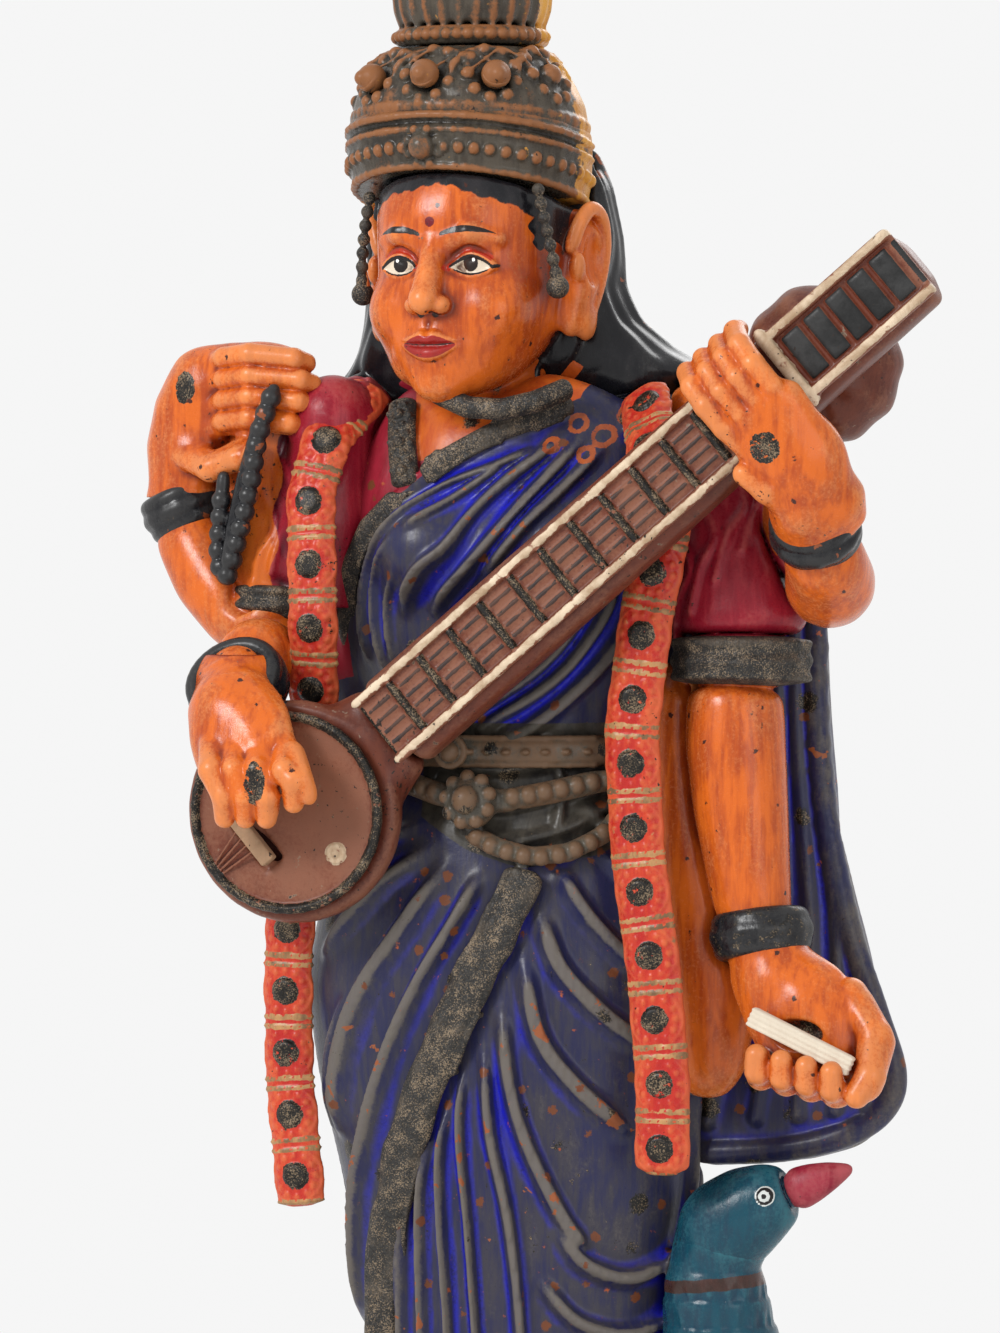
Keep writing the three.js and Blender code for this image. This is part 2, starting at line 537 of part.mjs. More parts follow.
// Cuts each piece to leave the luting gap round every piece before it.
function seatPieces(root) {
  root.updateMatrixWorld(true);
  const placed = [];
  root.traverse((mesh) => {
    if (!mesh.isMesh) return;
    const world = welded(mesh.geometry).applyMatrix4(mesh.matrixWorld);
    world.computeBoundingBox();
    const { mould } = mesh.userData;
    const near = placed.filter((other) => other.mould !== mould && other.box.intersectsBox(
        world.boundingBox));
    const seated = near.reduce((left, other) => left.subtract(other.tool), solidOf(world)).simplify(SLACK);
    const tool = solidOf(swollen(world, SEAT)).simplify(SLACK);
    placed.push({ box: world.boundingBox.clone().expandByScalar(SEAT), tool, mould });
    const whole = solidOf(geometryOf(largest(seated)).applyMatrix4(mesh.matrixWorld.clone().invert()));
    mesh.geometry = geometryOf(largest(whole));
  });
}

addPlinth();
addOrnaments();
const lute = addLute();
addArms();
addFrettingHand(lute);
addRightHands();
addScrollHand();
addSleeves();
addHead();
addBird();
addFeet();
addBody();
seatPieces(statue);

// The origin is the middle of the whole outline, on the surface that the plinth stands on.
const bounds = new THREE.Box3().setFromObject(statue, true);
const middle = bounds.getCenter(v3(0, 0, 0));
statue.position.set(-middle.x, -middle.y, -bounds.min.z);

export default statue;
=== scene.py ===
import json
import math

import bpy
import numpy as np
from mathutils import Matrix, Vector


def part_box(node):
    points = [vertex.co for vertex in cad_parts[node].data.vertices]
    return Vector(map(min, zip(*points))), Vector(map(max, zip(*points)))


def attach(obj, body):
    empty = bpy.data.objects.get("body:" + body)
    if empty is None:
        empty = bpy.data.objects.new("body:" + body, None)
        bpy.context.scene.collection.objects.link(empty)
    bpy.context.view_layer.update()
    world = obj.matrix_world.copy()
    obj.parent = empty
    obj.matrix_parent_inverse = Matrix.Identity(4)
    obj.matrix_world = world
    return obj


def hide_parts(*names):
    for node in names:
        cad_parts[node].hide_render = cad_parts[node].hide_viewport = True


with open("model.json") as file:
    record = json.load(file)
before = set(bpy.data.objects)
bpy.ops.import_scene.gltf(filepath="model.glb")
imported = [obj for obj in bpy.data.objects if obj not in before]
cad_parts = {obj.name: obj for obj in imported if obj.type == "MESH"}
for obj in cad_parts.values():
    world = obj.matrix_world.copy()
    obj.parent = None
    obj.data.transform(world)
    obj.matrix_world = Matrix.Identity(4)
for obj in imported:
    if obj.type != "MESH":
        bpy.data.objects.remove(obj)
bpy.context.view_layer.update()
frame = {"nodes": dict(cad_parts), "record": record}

import openvdb
from mathutils import Vector

# A hand-painted terracotta goddess. Each piece starts from its CAD solid, turned into signed distances on a
# grid. The facets are softened, folds, beads and features are pressed into the clay, and the grid becomes a
# fine mesh.
# Lengths are in millimetres from the figure's own axis on the surface she stands on, until a mesh is made.

MM = 0.001
PLINTH_TO_AXIS = 14.0          # the figure stands this far to the right of the plinth's middle
plinth_low, plinth_high = (np.array(corner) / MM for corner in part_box("plinth"))
plinth_middle = (plinth_low + plinth_high) / 2
AXIS = np.array([plinth_middle[0] - PLINTH_TO_AXIS, plinth_middle[1], 0.0])
SCENE_ORDER = [part["node"] for part in frame["record"]["subparts"]]
SLOT_OF = {part["node"]: part["material_slot"] for part in frame["record"]["subparts"]}
BAND = 7.0                     # how far distances are measured from a surface
CAST_STEPS = 110               # steps that carry a point onto a surface
FAR, TINY = 1e9, 1e-9
NEAR = 3.5                     # a relief's heights move the clay this close to the surface


def smooth(value, low, high):
    t = np.clip((value - low) / (high - low), 0.0, 1.0)
    return t * t * (3.0 - 2.0 * t)


def soft_min(a, b, k):
    h = np.clip(0.5 + 0.5 * (b - a) / k, 0.0, 1.0)
    return b + (a - b) * h - k * h * (1.0 - h)


def node_box(name):
    low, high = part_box(name)
    return np.array(low) / MM - AXIS, np.array(high) / MM - AXIS


def soup(names):
    """The points and triangles of some CAD nodes together, in figure millimetres."""
    points, corners, total = [], [], 0
    for name in names:
        mesh = frame["nodes"][name].data
        co = np.empty(len(mesh.vertices) * 3, np.float32)
        mesh.vertices.foreach_get("co", co)
        mesh.calc_loop_triangles()
        tri = np.empty(len(mesh.loop_triangles) * 3, np.int32)
        mesh.loop_triangles.foreach_get("vertices", tri)
        points.append(co.reshape(-1, 3) / MM - AXIS)
        corners.append(tri.reshape(-1, 3) + total)
        total += len(co) // 3
    return np.concatenate(points).astype(np.float32), np.concatenate(corners).astype(np.uint32)


def box_blur(field, radius, axis):
    if radius < 1:
        return field
    n = 2 * radius + 1
    pad = [(0, 0)] * 3
    pad[axis] = (radius + 1, radius)
    total = np.cumsum(np.pad(field, pad, mode="edge"), axis=axis)
    ahead = [slice(None)] * 3
    behind = [slice(None)] * 3
    ahead[axis], behind[axis] = slice(n, None), slice(None, -n)
    return (total[tuple(ahead)] - total[tuple(behind)]) / n


def blur(field, sigma):
    """A near-Gaussian blur: three box blurs on each axis, sigma in voxels."""
    if sigma < 0.3:
        return field
    width = math.sqrt(4.0 * sigma * sigma + 1.0)
    if width < 3.0:
        share = min(0.45, sigma * sigma / 2.0)
        for axis in range(3):
            back, ahead = np.roll(field, 1, axis), np.roll(field, -1, axis)
            field = field * (1.0 - 2.0 * share) + (back + ahead) * share
        return field
    radius = int(round((width - 1.0) / 2.0))
    for axis in range(3):
        for _ in range(3):
            field = box_blur(field, radius, axis)
    return field


class Clay:
    """A solid as signed distances in millimetres on a grid, negative inside."""

    def __init__(self, names, voxel, soften=1.0, margin=5.0, bare=False):
        self.names, self.voxel, self.soften = names, voxel, soften
        points, triangles = soup(names)
        self.start = np.floor((points.min(0) - margin) / voxel).astype(int)
        self.shape = tuple(np.ceil((points.max(0) + margin) / voxel).astype(int) - self.start)
        if bare:        # an empty grid, to model in from nothing
            self.field = np.full(self.shape, BAND, np.float32)
        else:
            self.field = blur(self.measure(points, triangles), soften / voxel)

    def measure(self, points, triangles):
        half = BAND / self.voxel
        grid = openvdb.FloatGrid.createLevelSetFromPolygons(
            points=points, triangles=triangles, halfWidth=half,
            transform=openvdb.createLinearTransform(voxelSize=self.voxel))
        field = np.full(self.shape, BAND, np.float32)
        grid.copyToArray(field, ijk=tuple(int(v) for v in self.start))
        return field

    def axes(self):
        return [(self.start[i] + np.arange(self.shape[i], dtype=np.float32)) * self.voxel for i in range(3)]

    def fill_across(self):
        """Fills what lies between the first and the last clay along X, such as a moulded body's hollow."""
        inside = self.field < 0
        held = np.maximum.accumulate(inside, axis=0) & np.maximum.accumulate(inside[::-1], axis=0)[::-1]
        self.field = np.where(held & ~inside, -2.0, self.field).astype(np.float32)

    def settle(self, blend):
        """Draws the clay up in a fillet to each piece that the CAD seats before this one."""
        sink, reach = 0.5, 4.0         # the fillet's depth inside the other piece, and how far out it runs
        mine_low, mine_high = (self.start * self.voxel, (self.start + np.array(self.shape)) * self.voxel)
        first = min(SCENE_ORDER.index(name) for name in self.names)
        near = []
        for name in SCENE_ORDER[:first]:
            low, high = node_box(name)
            if name not in self.names and np.all(low < mine_high) and np.all(high > mine_low):
                near.append(name)
        if near:
            others = blur(self.measure(*soup(near)), 0.8 * self.soften / self.voxel) + sink
            self.field = soft_min(self.field, np.maximum(others, self.field - reach), blend)

    def window(self, low, high):
        """The block of the grid between two corners, with its x, y and z; None when it lies outside."""
        a = np.clip(np.floor(np.array(low) / self.voxel).astype(int) - self.start, 0, self.shape)
        b = np.clip(np.ceil(np.array(high) / self.voxel).astype(int) + 1 - self.start, 0, self.shape)
        if np.any(b <= a):
            return None
        x, y, z = ((self.start[i] + np.arange(a[i], b[i], dtype=np.float32)) * self.voxel for i in range(3))
        block = tuple(slice(a[i], b[i]) for i in range(3))
        return block, x[:, None, None], y[None, :, None], z[None, None, :]

    def ball(self, centre, radius, blend, cut=False, turn=None):
        """Adds, or cuts, a ball or an ellipsoid with three radii, turned by a matrix."""
        r = np.array(radius, dtype=float) * np.ones(3)
        c = np.array(centre, dtype=float)
        got = self.window(c - r.max() - 2 * blend, c + r.max() + 2 * blend)
        if not got:
            return
        block, x, y, z = got
        d = [x - c[0], y - c[1], z - c[2]]
        if turn is not None:
            d = [turn[i][0] * d[0] + turn[i][1] * d[1] + turn[i][2] * d[2] for i in range(3)]
        size = np.sqrt((d[0] / r[0]) ** 2 + (d[1] / r[1]) ** 2 + (d[2] / r[2]) ** 2)
        away = (size - 1.0) * r.min() if len(set(r)) == 1 else (size - 1.0) * size / np.sqrt(
            (d[0] / r[0] ** 2) ** 2 + (d[1] / r[1] ** 2) ** 2 + (d[2] / r[2] ** 2) ** 2 + TINY)
        self._merge(block, away, blend, cut)

    def rod(self, points, radii, blend, cut=False):
        """Adds, or cuts, a round rod along a line of points."""
        points = np.array(points, dtype=float)
        radii = np.ones(len(points)) * radii
        for a, b, ra, rb in zip(points[:-1], points[1:], radii[:-1], radii[1:]):
            r = max(ra, rb) + 2 * blend
            got = self.window(np.minimum(a, b) - r, np.maximum(a, b) + r)
            if not got:
                continue
            block, x, y, z = got
            ab = b - a
            t = ((x - a[0]) * ab[0] + (y - a[1]) * ab[1] + (z - a[2]) * ab[2]) / max(ab @ ab, TINY)
            t = np.clip(t, 0.0, 1.0)
            away = np.sqrt((x - a[0] - ab[0] * t) ** 2 + (y - a[1] - ab[1] * t) ** 2
                           + (z - a[2] - ab[2] * t) ** 2)
            self._merge(block, away - (ra + (rb - ra) * t), blend, cut)

    def _merge(self, block, away, blend, cut):
        here = self.field[block]
        self.field[block] = -soft_min(-here, away, blend) if cut else soft_min(here, away, blend)

    def centre_line(self, direction, step):
        """The middle of the clay, slice by slice along a direction."""
        inside = (np.argwhere(self.field < 0) + self.start) * self.voxel
        along = inside @ np.array(direction, dtype=float)
        slices = ((along - along.min()) / step).astype(int)
        count = np.bincount(slices)
        held = np.maximum(count, 1)
        line = np.stack([np.bincount(slices, inside[:, k]) / held for k in range(3)], axis=1)
        line = line[count > 0.25 * np.median(count)]
        for _ in range(2):
            line[1:-1] = (line[:-2] + 2 * line[1:-1] + line[2:]) / 4
        return line

    def sample(self, points, field=None):
        """The field's value at points anywhere, blended from the eight grid points round each."""
        field = self.field if field is None else field
        p = points / self.voxel - self.start
        p = np.clip(p, 0, np.array(self.shape) - 1.001)
        i = p.astype(int)
        f = (p - i).astype(np.float32)
        value = 0.0
        for corner in range(8):
            at = [(corner >> k) & 1 for k in range(3)]
            share = np.prod([f[:, k] if at[k] else 1.0 - f[:, k] for k in range(3)], axis=0)
            value = value + share * field[i[:, 0] + at[0], i[:, 1] + at[1], i[:, 2] + at[2]]
        return value

    def cast(self, points, direction):
        """Moves points along a direction until they meet the surface."""
        p = np.array(points, dtype=float)
        d = np.array(direction, dtype=float)
        d = d / np.linalg.norm(d, axis=-1, keepdims=True)
        for _ in range(CAST_STEPS):
            p = p + d * np.clip(self.sample(p), -2.0, 3.0)[:, None] * 0.8
        return p

    def press(self, relief):
        """Raises the surface by the relief's heights."""
        near = np.nonzero(np.abs(self.field) < NEAR)
        points = (np.stack(near, axis=1) + self.start) * self.voxel
        u, v, weight = relief.place(points)
        self.field[near] -= relief.read("height", u, v) * weight

    def trim(self, distance):
        """Keeps only what lies where the distance, given for the three grid axes, is negative."""
        x, y, z = self.axes()
        self.field = np.maximum(self.field, distance(x[:, None, None], y[None, :, None], z[None, None, :]))


class Spine:
    """A line of points with an outward side. place() gives the length along it and the distance across it."""

    def __init__(self, points, outward=(0, -1, 0), ends=0.0, side=None, reach=40.0):
        points = np.array(points, dtype=float)
        lead = [(points[0] - points[1]) / np.linalg.norm(points[0] - points[1]) * ends + points[0]]
        tail = [(points[-1] - points[-2]) / np.linalg.norm(points[-1] - points[-2]) * ends + points[-1]]
        self.points = np.concatenate([lead, points, tail]) if ends else points
        self.steps = np.diff(self.points, axis=0)
        self.lengths = np.linalg.norm(self.steps, axis=1)
        self.marks = np.concatenate([[0.0], np.cumsum(self.lengths)])
        self.length = self.marks[-1]
        if side is None:
            side = np.cross(self.steps, np.array(outward, dtype=float))
        else:
            side = np.tile(side, (len(self.steps), 1))
        self.side = side / np.linalg.norm(side, axis=1, keepdims=True)
        self.reach = reach

    def place(self, p):
        best = np.full(len(p), FAR)
        u, v = np.zeros(len(p)), np.zeros(len(p))
        # Round a level line that v rises from, the nearest part of it is the nearest in plan.
        axes = 2 if np.abs(self.side[:, 2]).min() == 1.0 else 3
        for a, ab, size, mark, side in zip(self.points, self.steps, self.lengths, self.marks, self.side):
            t = np.clip((p - a) @ ab / size ** 2, 0.0, 1.0)
            gap = p - a - t[:, None] * ab
            far = np.einsum("ij,ij->i", gap[:, :axes], gap[:, :axes])
            nearer = far < best
            best = np.where(nearer, far, best)
            u, v = np.where(nearer, mark + t * size, u), np.where(nearer, gap @ side, v)
        return u, v, (best < self.reach ** 2).astype(float)

    def at(self, u, v=0.0):
        """The point at a length along and a distance across."""
        k = int(np.clip(np.searchsorted(self.marks, u) - 1, 0, len(self.steps) - 1))
        return self.points[k] + self.steps[k] * ((u - self.marks[k]) / self.lengths[k]) + self.side[k] * v


class Place:
    """A local frame: side is across, front is forward and z is up."""

    def __init__(self, centre, turn=0.0):
        self.centre = np.array(centre, dtype=float)
        c, s = math.cos(math.radians(turn)), math.sin(math.radians(turn))
        self.side, self.front = np.array([c, s, 0.0]), np.array([s, -c, 0.0])

    def at(self, x, forward, z):
        return self.centre + self.side * x + self.front * forward + np.array([0.0, 0.0, z])

    def local(self, points):
        gap = points - self.centre
        return gap @ self.side, gap @ self.front, gap[:, 2]


class Relief:
    """A flat drawing of heights and painted masks, wrapped on clay. place(points) gives u, v and a weight."""

    def __init__(self, place, u, v, step):
        self.place, self.u0, self.v0, self.step = place, u[0], v[0], step
        self.size = (int((u[1] - u[0]) / step) + 2, int((v[1] - v[0]) / step) + 2)
        self.layers = {"height": np.zeros(self.size, np.float32)}

    def grid(self, low, high):
        """The block of the drawing between two corners, with its u and v."""
        a = np.clip(((np.array(low) - (self.u0, self.v0)) / self.step).astype(int) - 1, 0, self.size)
        b = np.clip(((np.array(high) - (self.u0, self.v0)) / self.step).astype(int) + 2, 0, self.size)
        u = self.u0 + np.arange(a[0], b[0], dtype=np.float32)[:, None] * self.step
        v = self.v0 + np.arange(a[1], b[1], dtype=np.float32)[None, :] * self.step
        return (slice(a[0], b[0]), slice(a[1], b[1])), u, v

    def read(self, name, u, v):
        layer = self.layers[name]
        a = np.clip((u - self.u0) / self.step, 0, self.size[0] - 1.001)
        b = np.clip((v - self.v0) / self.step, 0, self.size[1] - 1.001)
        i, j = a.astype(int), b.astype(int)
        fa, fb = a - i, b - j
        return (layer[i, j] * (1 - fa) * (1 - fb) + layer[i + 1, j] * fa * (1 - fb)
                + layer[i, j + 1] * (1 - fa) * fb + layer[i + 1, j + 1] * fa * fb)

    def line(self, points, width, height, mask=None, shape="round", join=np.maximum):
        """Draws a raised line through points, painted too with a mask. width is half the line's width."""
        pts = np.array(points, dtype=float)
        widths = np.ones(len(pts)) * width
        heights = np.ones(len(pts)) * height
        pad = widths.max() * 1.3 + 0.5
        block, u, v = self.grid(pts.min(0) - pad, pts.max(0) + pad)
        best = np.full((u.shape[0], v.shape[1]), FAR, np.float32)
        wide = np.ones_like(best)
        tall = np.zeros_like(best)
        ends = zip(pts[:-1], pts[1:], widths[:-1], widths[1:], heights[:-1], heights[1:])
        for a, b, wa, wb, ha, hb in ends:
            ab = b - a
            t = np.clip(((u - a[0]) * ab[0] + (v - a[1]) * ab[1]) / max(ab @ ab, TINY), 0, 1)
            d = np.sqrt((u - a[0] - ab[0] * t) ** 2 + (v - a[1] - ab[1] * t) ** 2)
            w = wa + (wb - wa) * t
            nearer = d / w < best / wide
            best, wide = np.where(nearer, d, best), np.where(nearer, w, wide)
            tall = np.where(nearer, ha + (hb - ha) * t, tall)
        self._profile(block, best / wide, tall, mask, shape, wide, join)

    def _from_centre(self, centre, pad, stretch):
        c = np.array(centre, dtype=float)
        block, u, v = self.grid(c - pad, c + pad)
        return block, np.sqrt(((u - c[0]) / stretch[0]) ** 2 + ((v - c[1]) / stretch[1]) ** 2)

    def dot(self, centre, radius, height, mask=None, shape="round", stretch=(1, 1)):
        block, d = self._from_centre(centre, radius * max(stretch) * 1.3 + 0.5, stretch)
        self._profile(block, d / radius, height, mask, shape, radius)

    def ring(self, centre, radius, width, height, mask=None, shape="round", stretch=(1, 1)):
        block, d = self._from_centre(centre, (radius + width) * max(stretch) * 1.2 + 0.5, stretch)
        self._profile(block, np.abs(d - radius) / width, height, mask, shape, width)

    def _profile(self, block, d, tall, mask, shape, wide, join=np.maximum):
        """Adds a profile, given how far each point lies across the stroke, as a share of its half width."""
        inside = np.clip(1.0 - d, 0, 1)
        form = {"round": np.sqrt(np.clip(1.0 - d * d, 0, 1)), "soft": smooth(inside, 0, 1),
                "flat": smooth(inside, 0, 0.3)}[shape]
        self.layers["height"][block] = join(self.layers["height"][block], form * tall)
        if mask:
            edge = np.clip(0.35 / np.maximum(wide, 0.2), 0.05, 0.6)
            layer = self.layers.setdefault(mask, np.zeros(self.size, np.float32))
            layer[block] = np.maximum(layer[block], 1.0 - smooth(d, 1.0 - edge, 1.0 + edge))


# ---- Meshes.

CRUMB = 400
# The ridge and wide layers say how far a point stands out from the clay blurred over these millimetres.
FINE_BLUR, WIDE_BLUR = 1.3, 4.5
FINE_HEIGHT, WIDE_HEIGHT = 0.35, 1.6         # the heights that count as 1 in those layers


def welded_quads(clay):
    """The surface of the clay as points and faces, closed where it meets the edge of the grid."""
    grid = openvdb.FloatGrid(BAND)
    grid.transform = openvdb.createLinearTransform(voxelSize=clay.voxel)
    shell = clay.field.copy()
    for axis in range(3):
        edge = [slice(None)] * 3
        for side in (0, -1):
            edge[axis] = side
            shell[tuple(edge)] = BAND
    grid.copyFromArray(shell, ijk=tuple(int(v) for v in clay.start), tolerance=0.0)
    points, quads = grid.convertToQuads(isovalue=0.0)
    return points.astype(np.float64), quads.astype(np.int64)[:, ::-1]


def relaxed(points, quads, rounds):
    """Moves each point half way to the middle of its neighbours, some rounds."""
    ends = np.concatenate([quads[:, [0, 1]], quads[:, [1, 2]], quads[:, [2, 3]], quads[:, [3, 0]]])
    a, b = np.concatenate([ends[:, 0], ends[:, 1]]), np.concatenate([ends[:, 1], ends[:, 0]])
    count = np.maximum(np.bincount(a, minlength=len(points)), 1)
    for _ in range(rounds):
        sums = [np.bincount(a, points[b, k], minlength=len(points)) for k in range(3)]
        mean = np.stack([total / count for total in sums], axis=1)
        points = points + (mean - points) * 0.5
    return points


def biggest(points, quads):
    """Leaves out loose crumbs, of fewer than CRUMB faces."""
    label = np.arange(len(points))
    while True:
        low = label[quads].min(axis=1)
        new = label.copy()
        for k in range(4):
            np.minimum.at(new, quads[:, k], low)
        new = new[new]
        if np.array_equal(new, label):
            break
        label = new
    face = label[quads[:, 0]]
    names, count = np.unique(face, return_counts=True)
    keep = np.isin(face, names[count >= min(CRUMB, count.max())])
    quads = quads[keep]
    used, back = np.unique(quads, return_inverse=True)
    return points[used], back.reshape(quads.shape)


def make_piece(node, clay, masks=None, relax=2, paint=None):
    """The visible piece that stands for a CAD node. masks(points) gives where the paint changes, 0 to 1."""
    name = "clay_" + node
    points, quads = biggest(*welded_quads(clay))
    points = relaxed(points, quads, relax)
    mesh = bpy.data.meshes.new(name)
    mesh.vertices.add(len(points))
    mesh.vertices.foreach_set("co", ((points + AXIS) * MM).astype(np.float32).ravel())
    mesh.loops.add(quads.size)
    mesh.loops.foreach_set("vertex_index", quads.astype(np.int32).ravel())
    mesh.polygons.add(len(quads))
    mesh.polygons.foreach_set("loop_start", np.arange(0, quads.size, 4, dtype=np.int32))
    mesh.update(calc_edges=True)
    mesh.polygons.foreach_set("use_smooth", np.ones(len(quads), bool))
    fine = clay.sample(points, blur(clay.field, FINE_BLUR / clay.voxel))
    half = Clay.__new__(Clay)                   # the same clay on every other grid point, for the wide blur
    half.voxel, half.start = clay.voxel * 2, -(-clay.start // 2)
    skip = half.start * 2 - clay.start
    coarse = clay.field[skip[0]::2, skip[1]::2, skip[2]::2]
    half.shape = coarse.shape
    wide = half.sample(points, blur(coarse, WIDE_BLUR / half.voxel))
    layers = {"ridge": fine / FINE_HEIGHT, "wide": wide / WIDE_HEIGHT, **(masks(points) if masks else {})}
    for key, values in layers.items():
        attribute = mesh.attributes.new(key, "FLOAT", "POINT")
        attribute.data.foreach_set("value", np.clip(values, -2, 2).astype(np.float32))
    mesh.materials.append(paint or PAINT[SLOT_OF[node]])
    piece = bpy.data.objects.new(name, mesh)
    bpy.context.scene.collection.objects.link(piece)
    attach(piece, "root")
    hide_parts(node)
    print(f"{name}: {len(quads)} faces")


# ---- Paint.

SOOT, SPARKLE = (0.009, 0.008, 0.007), (0.20, 0.145, 0.09)


class Nodes:
    """A short way to write a material's nodes."""

    def __init__(self, name):
        self.material = bpy.data.materials.new(name)
        self.material.use_nodes = True
        self.tree = self.material.node_tree
        self.shader = self.tree.nodes["Principled BSDF"]
        self.where = self.add("ShaderNodeTexCoord").outputs["Object"]

    def add(self, kind, **settings):
        node = self.tree.nodes.new(kind)
        for key, value in settings.items():
            setattr(node, key, value)
        return node

    def link(self, value, socket):
        if isinstance(value, bpy.types.NodeSocket):
            self.tree.links.new(value, socket)
        elif socket.type == "RGBA" and len(value) == 3:
            socket.default_value = (*value, 1.0)
        else:
            socket.default_value = value

    def attribute(self, name):
        return self.add("ShaderNodeAttribute", attribute_name=name).outputs["Fac"]

    def noise(self, scale, detail, rough=0.5, distort=0.0, stretch=None):
        node = self.add("ShaderNodeTexNoise")
        where = self.where
        if stretch:
            mapping = self.add("ShaderNodeMapping")
            mapping.inputs["Scale"].default_value = stretch
            self.link(where, mapping.inputs["Vector"])
            where = mapping.outputs["Vector"]
        self.link(where, node.inputs["Vector"])
        settings = {"Scale": scale, "Detail": detail, "Roughness": rough, "Distortion": distort}
        for key, value in settings.items():
            node.inputs[key].default_value = value
        return node.outputs["Fac"]

    def cells(self, scale):
        node = self.add("ShaderNodeTexVoronoi")
        self.link(self.where, node.inputs["Vector"])
        node.inputs["Scale"].default_value = scale
        return node

    def math(self, operation, a, b=0.0, c=0.0):
        node = self.add("ShaderNodeMath", operation=operation)
        for value, socket in zip((a, b, c), node.inputs):
            self.link(value, socket)
        return node.outputs[0]

    def total(self, *terms):
        """The sum of value and weight pairs; a third number is taken from the value first."""
        whole = None
        for value, weight, *middle in terms:
            if middle:
                value = self.math("SUBTRACT", value, middle[0])
            if whole is None:
                whole = self.math("MULTIPLY", value, weight)
            else:
                whole = self.math("MULTIPLY_ADD", value, weight, whole)
        return whole

    def step(self, value, low, high, start=0.0, end=1.0):
        node = self.add("ShaderNodeMapRange", interpolation_type="SMOOTHSTEP")
        ends = {"Value": value, "From Min": low, "From Max": high, "To Min": start, "To Max": end}
        for key, item in ends.items():
            self.link(item, node.inputs[key])
        return node.outputs["Result"]

    def mix(self, share, a, b):
        node = self.add("ShaderNodeMix", data_type="RGBA")
        for value, socket in zip((share, a, b), (node.inputs[0], node.inputs[6], node.inputs[7])):
            self.link(value, socket)
        return node.outputs[2]

    def spots(self, scale, share, radius, ragged):
        """Round spots, one in some of the cells, with ragged edges."""
        cells = self.cells(scale)
        split = self.add("ShaderNodeSeparateColor")
        self.link(cells.outputs["Color"], split.inputs[0])
        chosen = self.step(split.outputs[0], 1.0 - share, 1.001 - share)
        away = self.total((cells.outputs["Distance"], 1.0), (ragged, 0.25, 0.5))
        inside = self.step(away, radius * scale * 0.9, radius * scale * 1.15, 1.0, 0.0)
        return self.math("MULTIPLY", chosen, inside)

    def grit(self):
        """Black paint that has caught a crust of fine bright grit."""
        grain = self.total((self.noise(2100, 2, 0.7), 1.0), (self.noise(200, 2), 0.5, 0.5))
        return self.mix(self.step(grain, 0.49, 0.70), SOOT, SPARKLE)

    def finish(self, colour, rough, bumps, depth, strength=0.8):
        """Joins colour, roughness and bumps, this many millimetres deep, to the shader."""
        self.link(colour, self.shader.inputs["Base Color"])
        self.link(rough, self.shader.inputs["Roughness"])
        bump = self.add("ShaderNodeBump")
        bump.inputs["Strength"].default_value = strength
        bump.inputs["Distance"].default_value = depth * MM
        self.link(bumps, bump.inputs["Height"])
        self.link(bump.outputs["Normal"], self.shader.inputs["Normal"])
        return self.material


PAINT_SPECULAR, COAT_ROUGHNESS = 0.22, 0.2
BRUSHWORK, GRIT_DEPTH = 0.12, 0.22                         # millimetres of bump
WORN = ("cream", "band", "ochre", "string", "blossom")      # painted masks that have rubbed away in patches


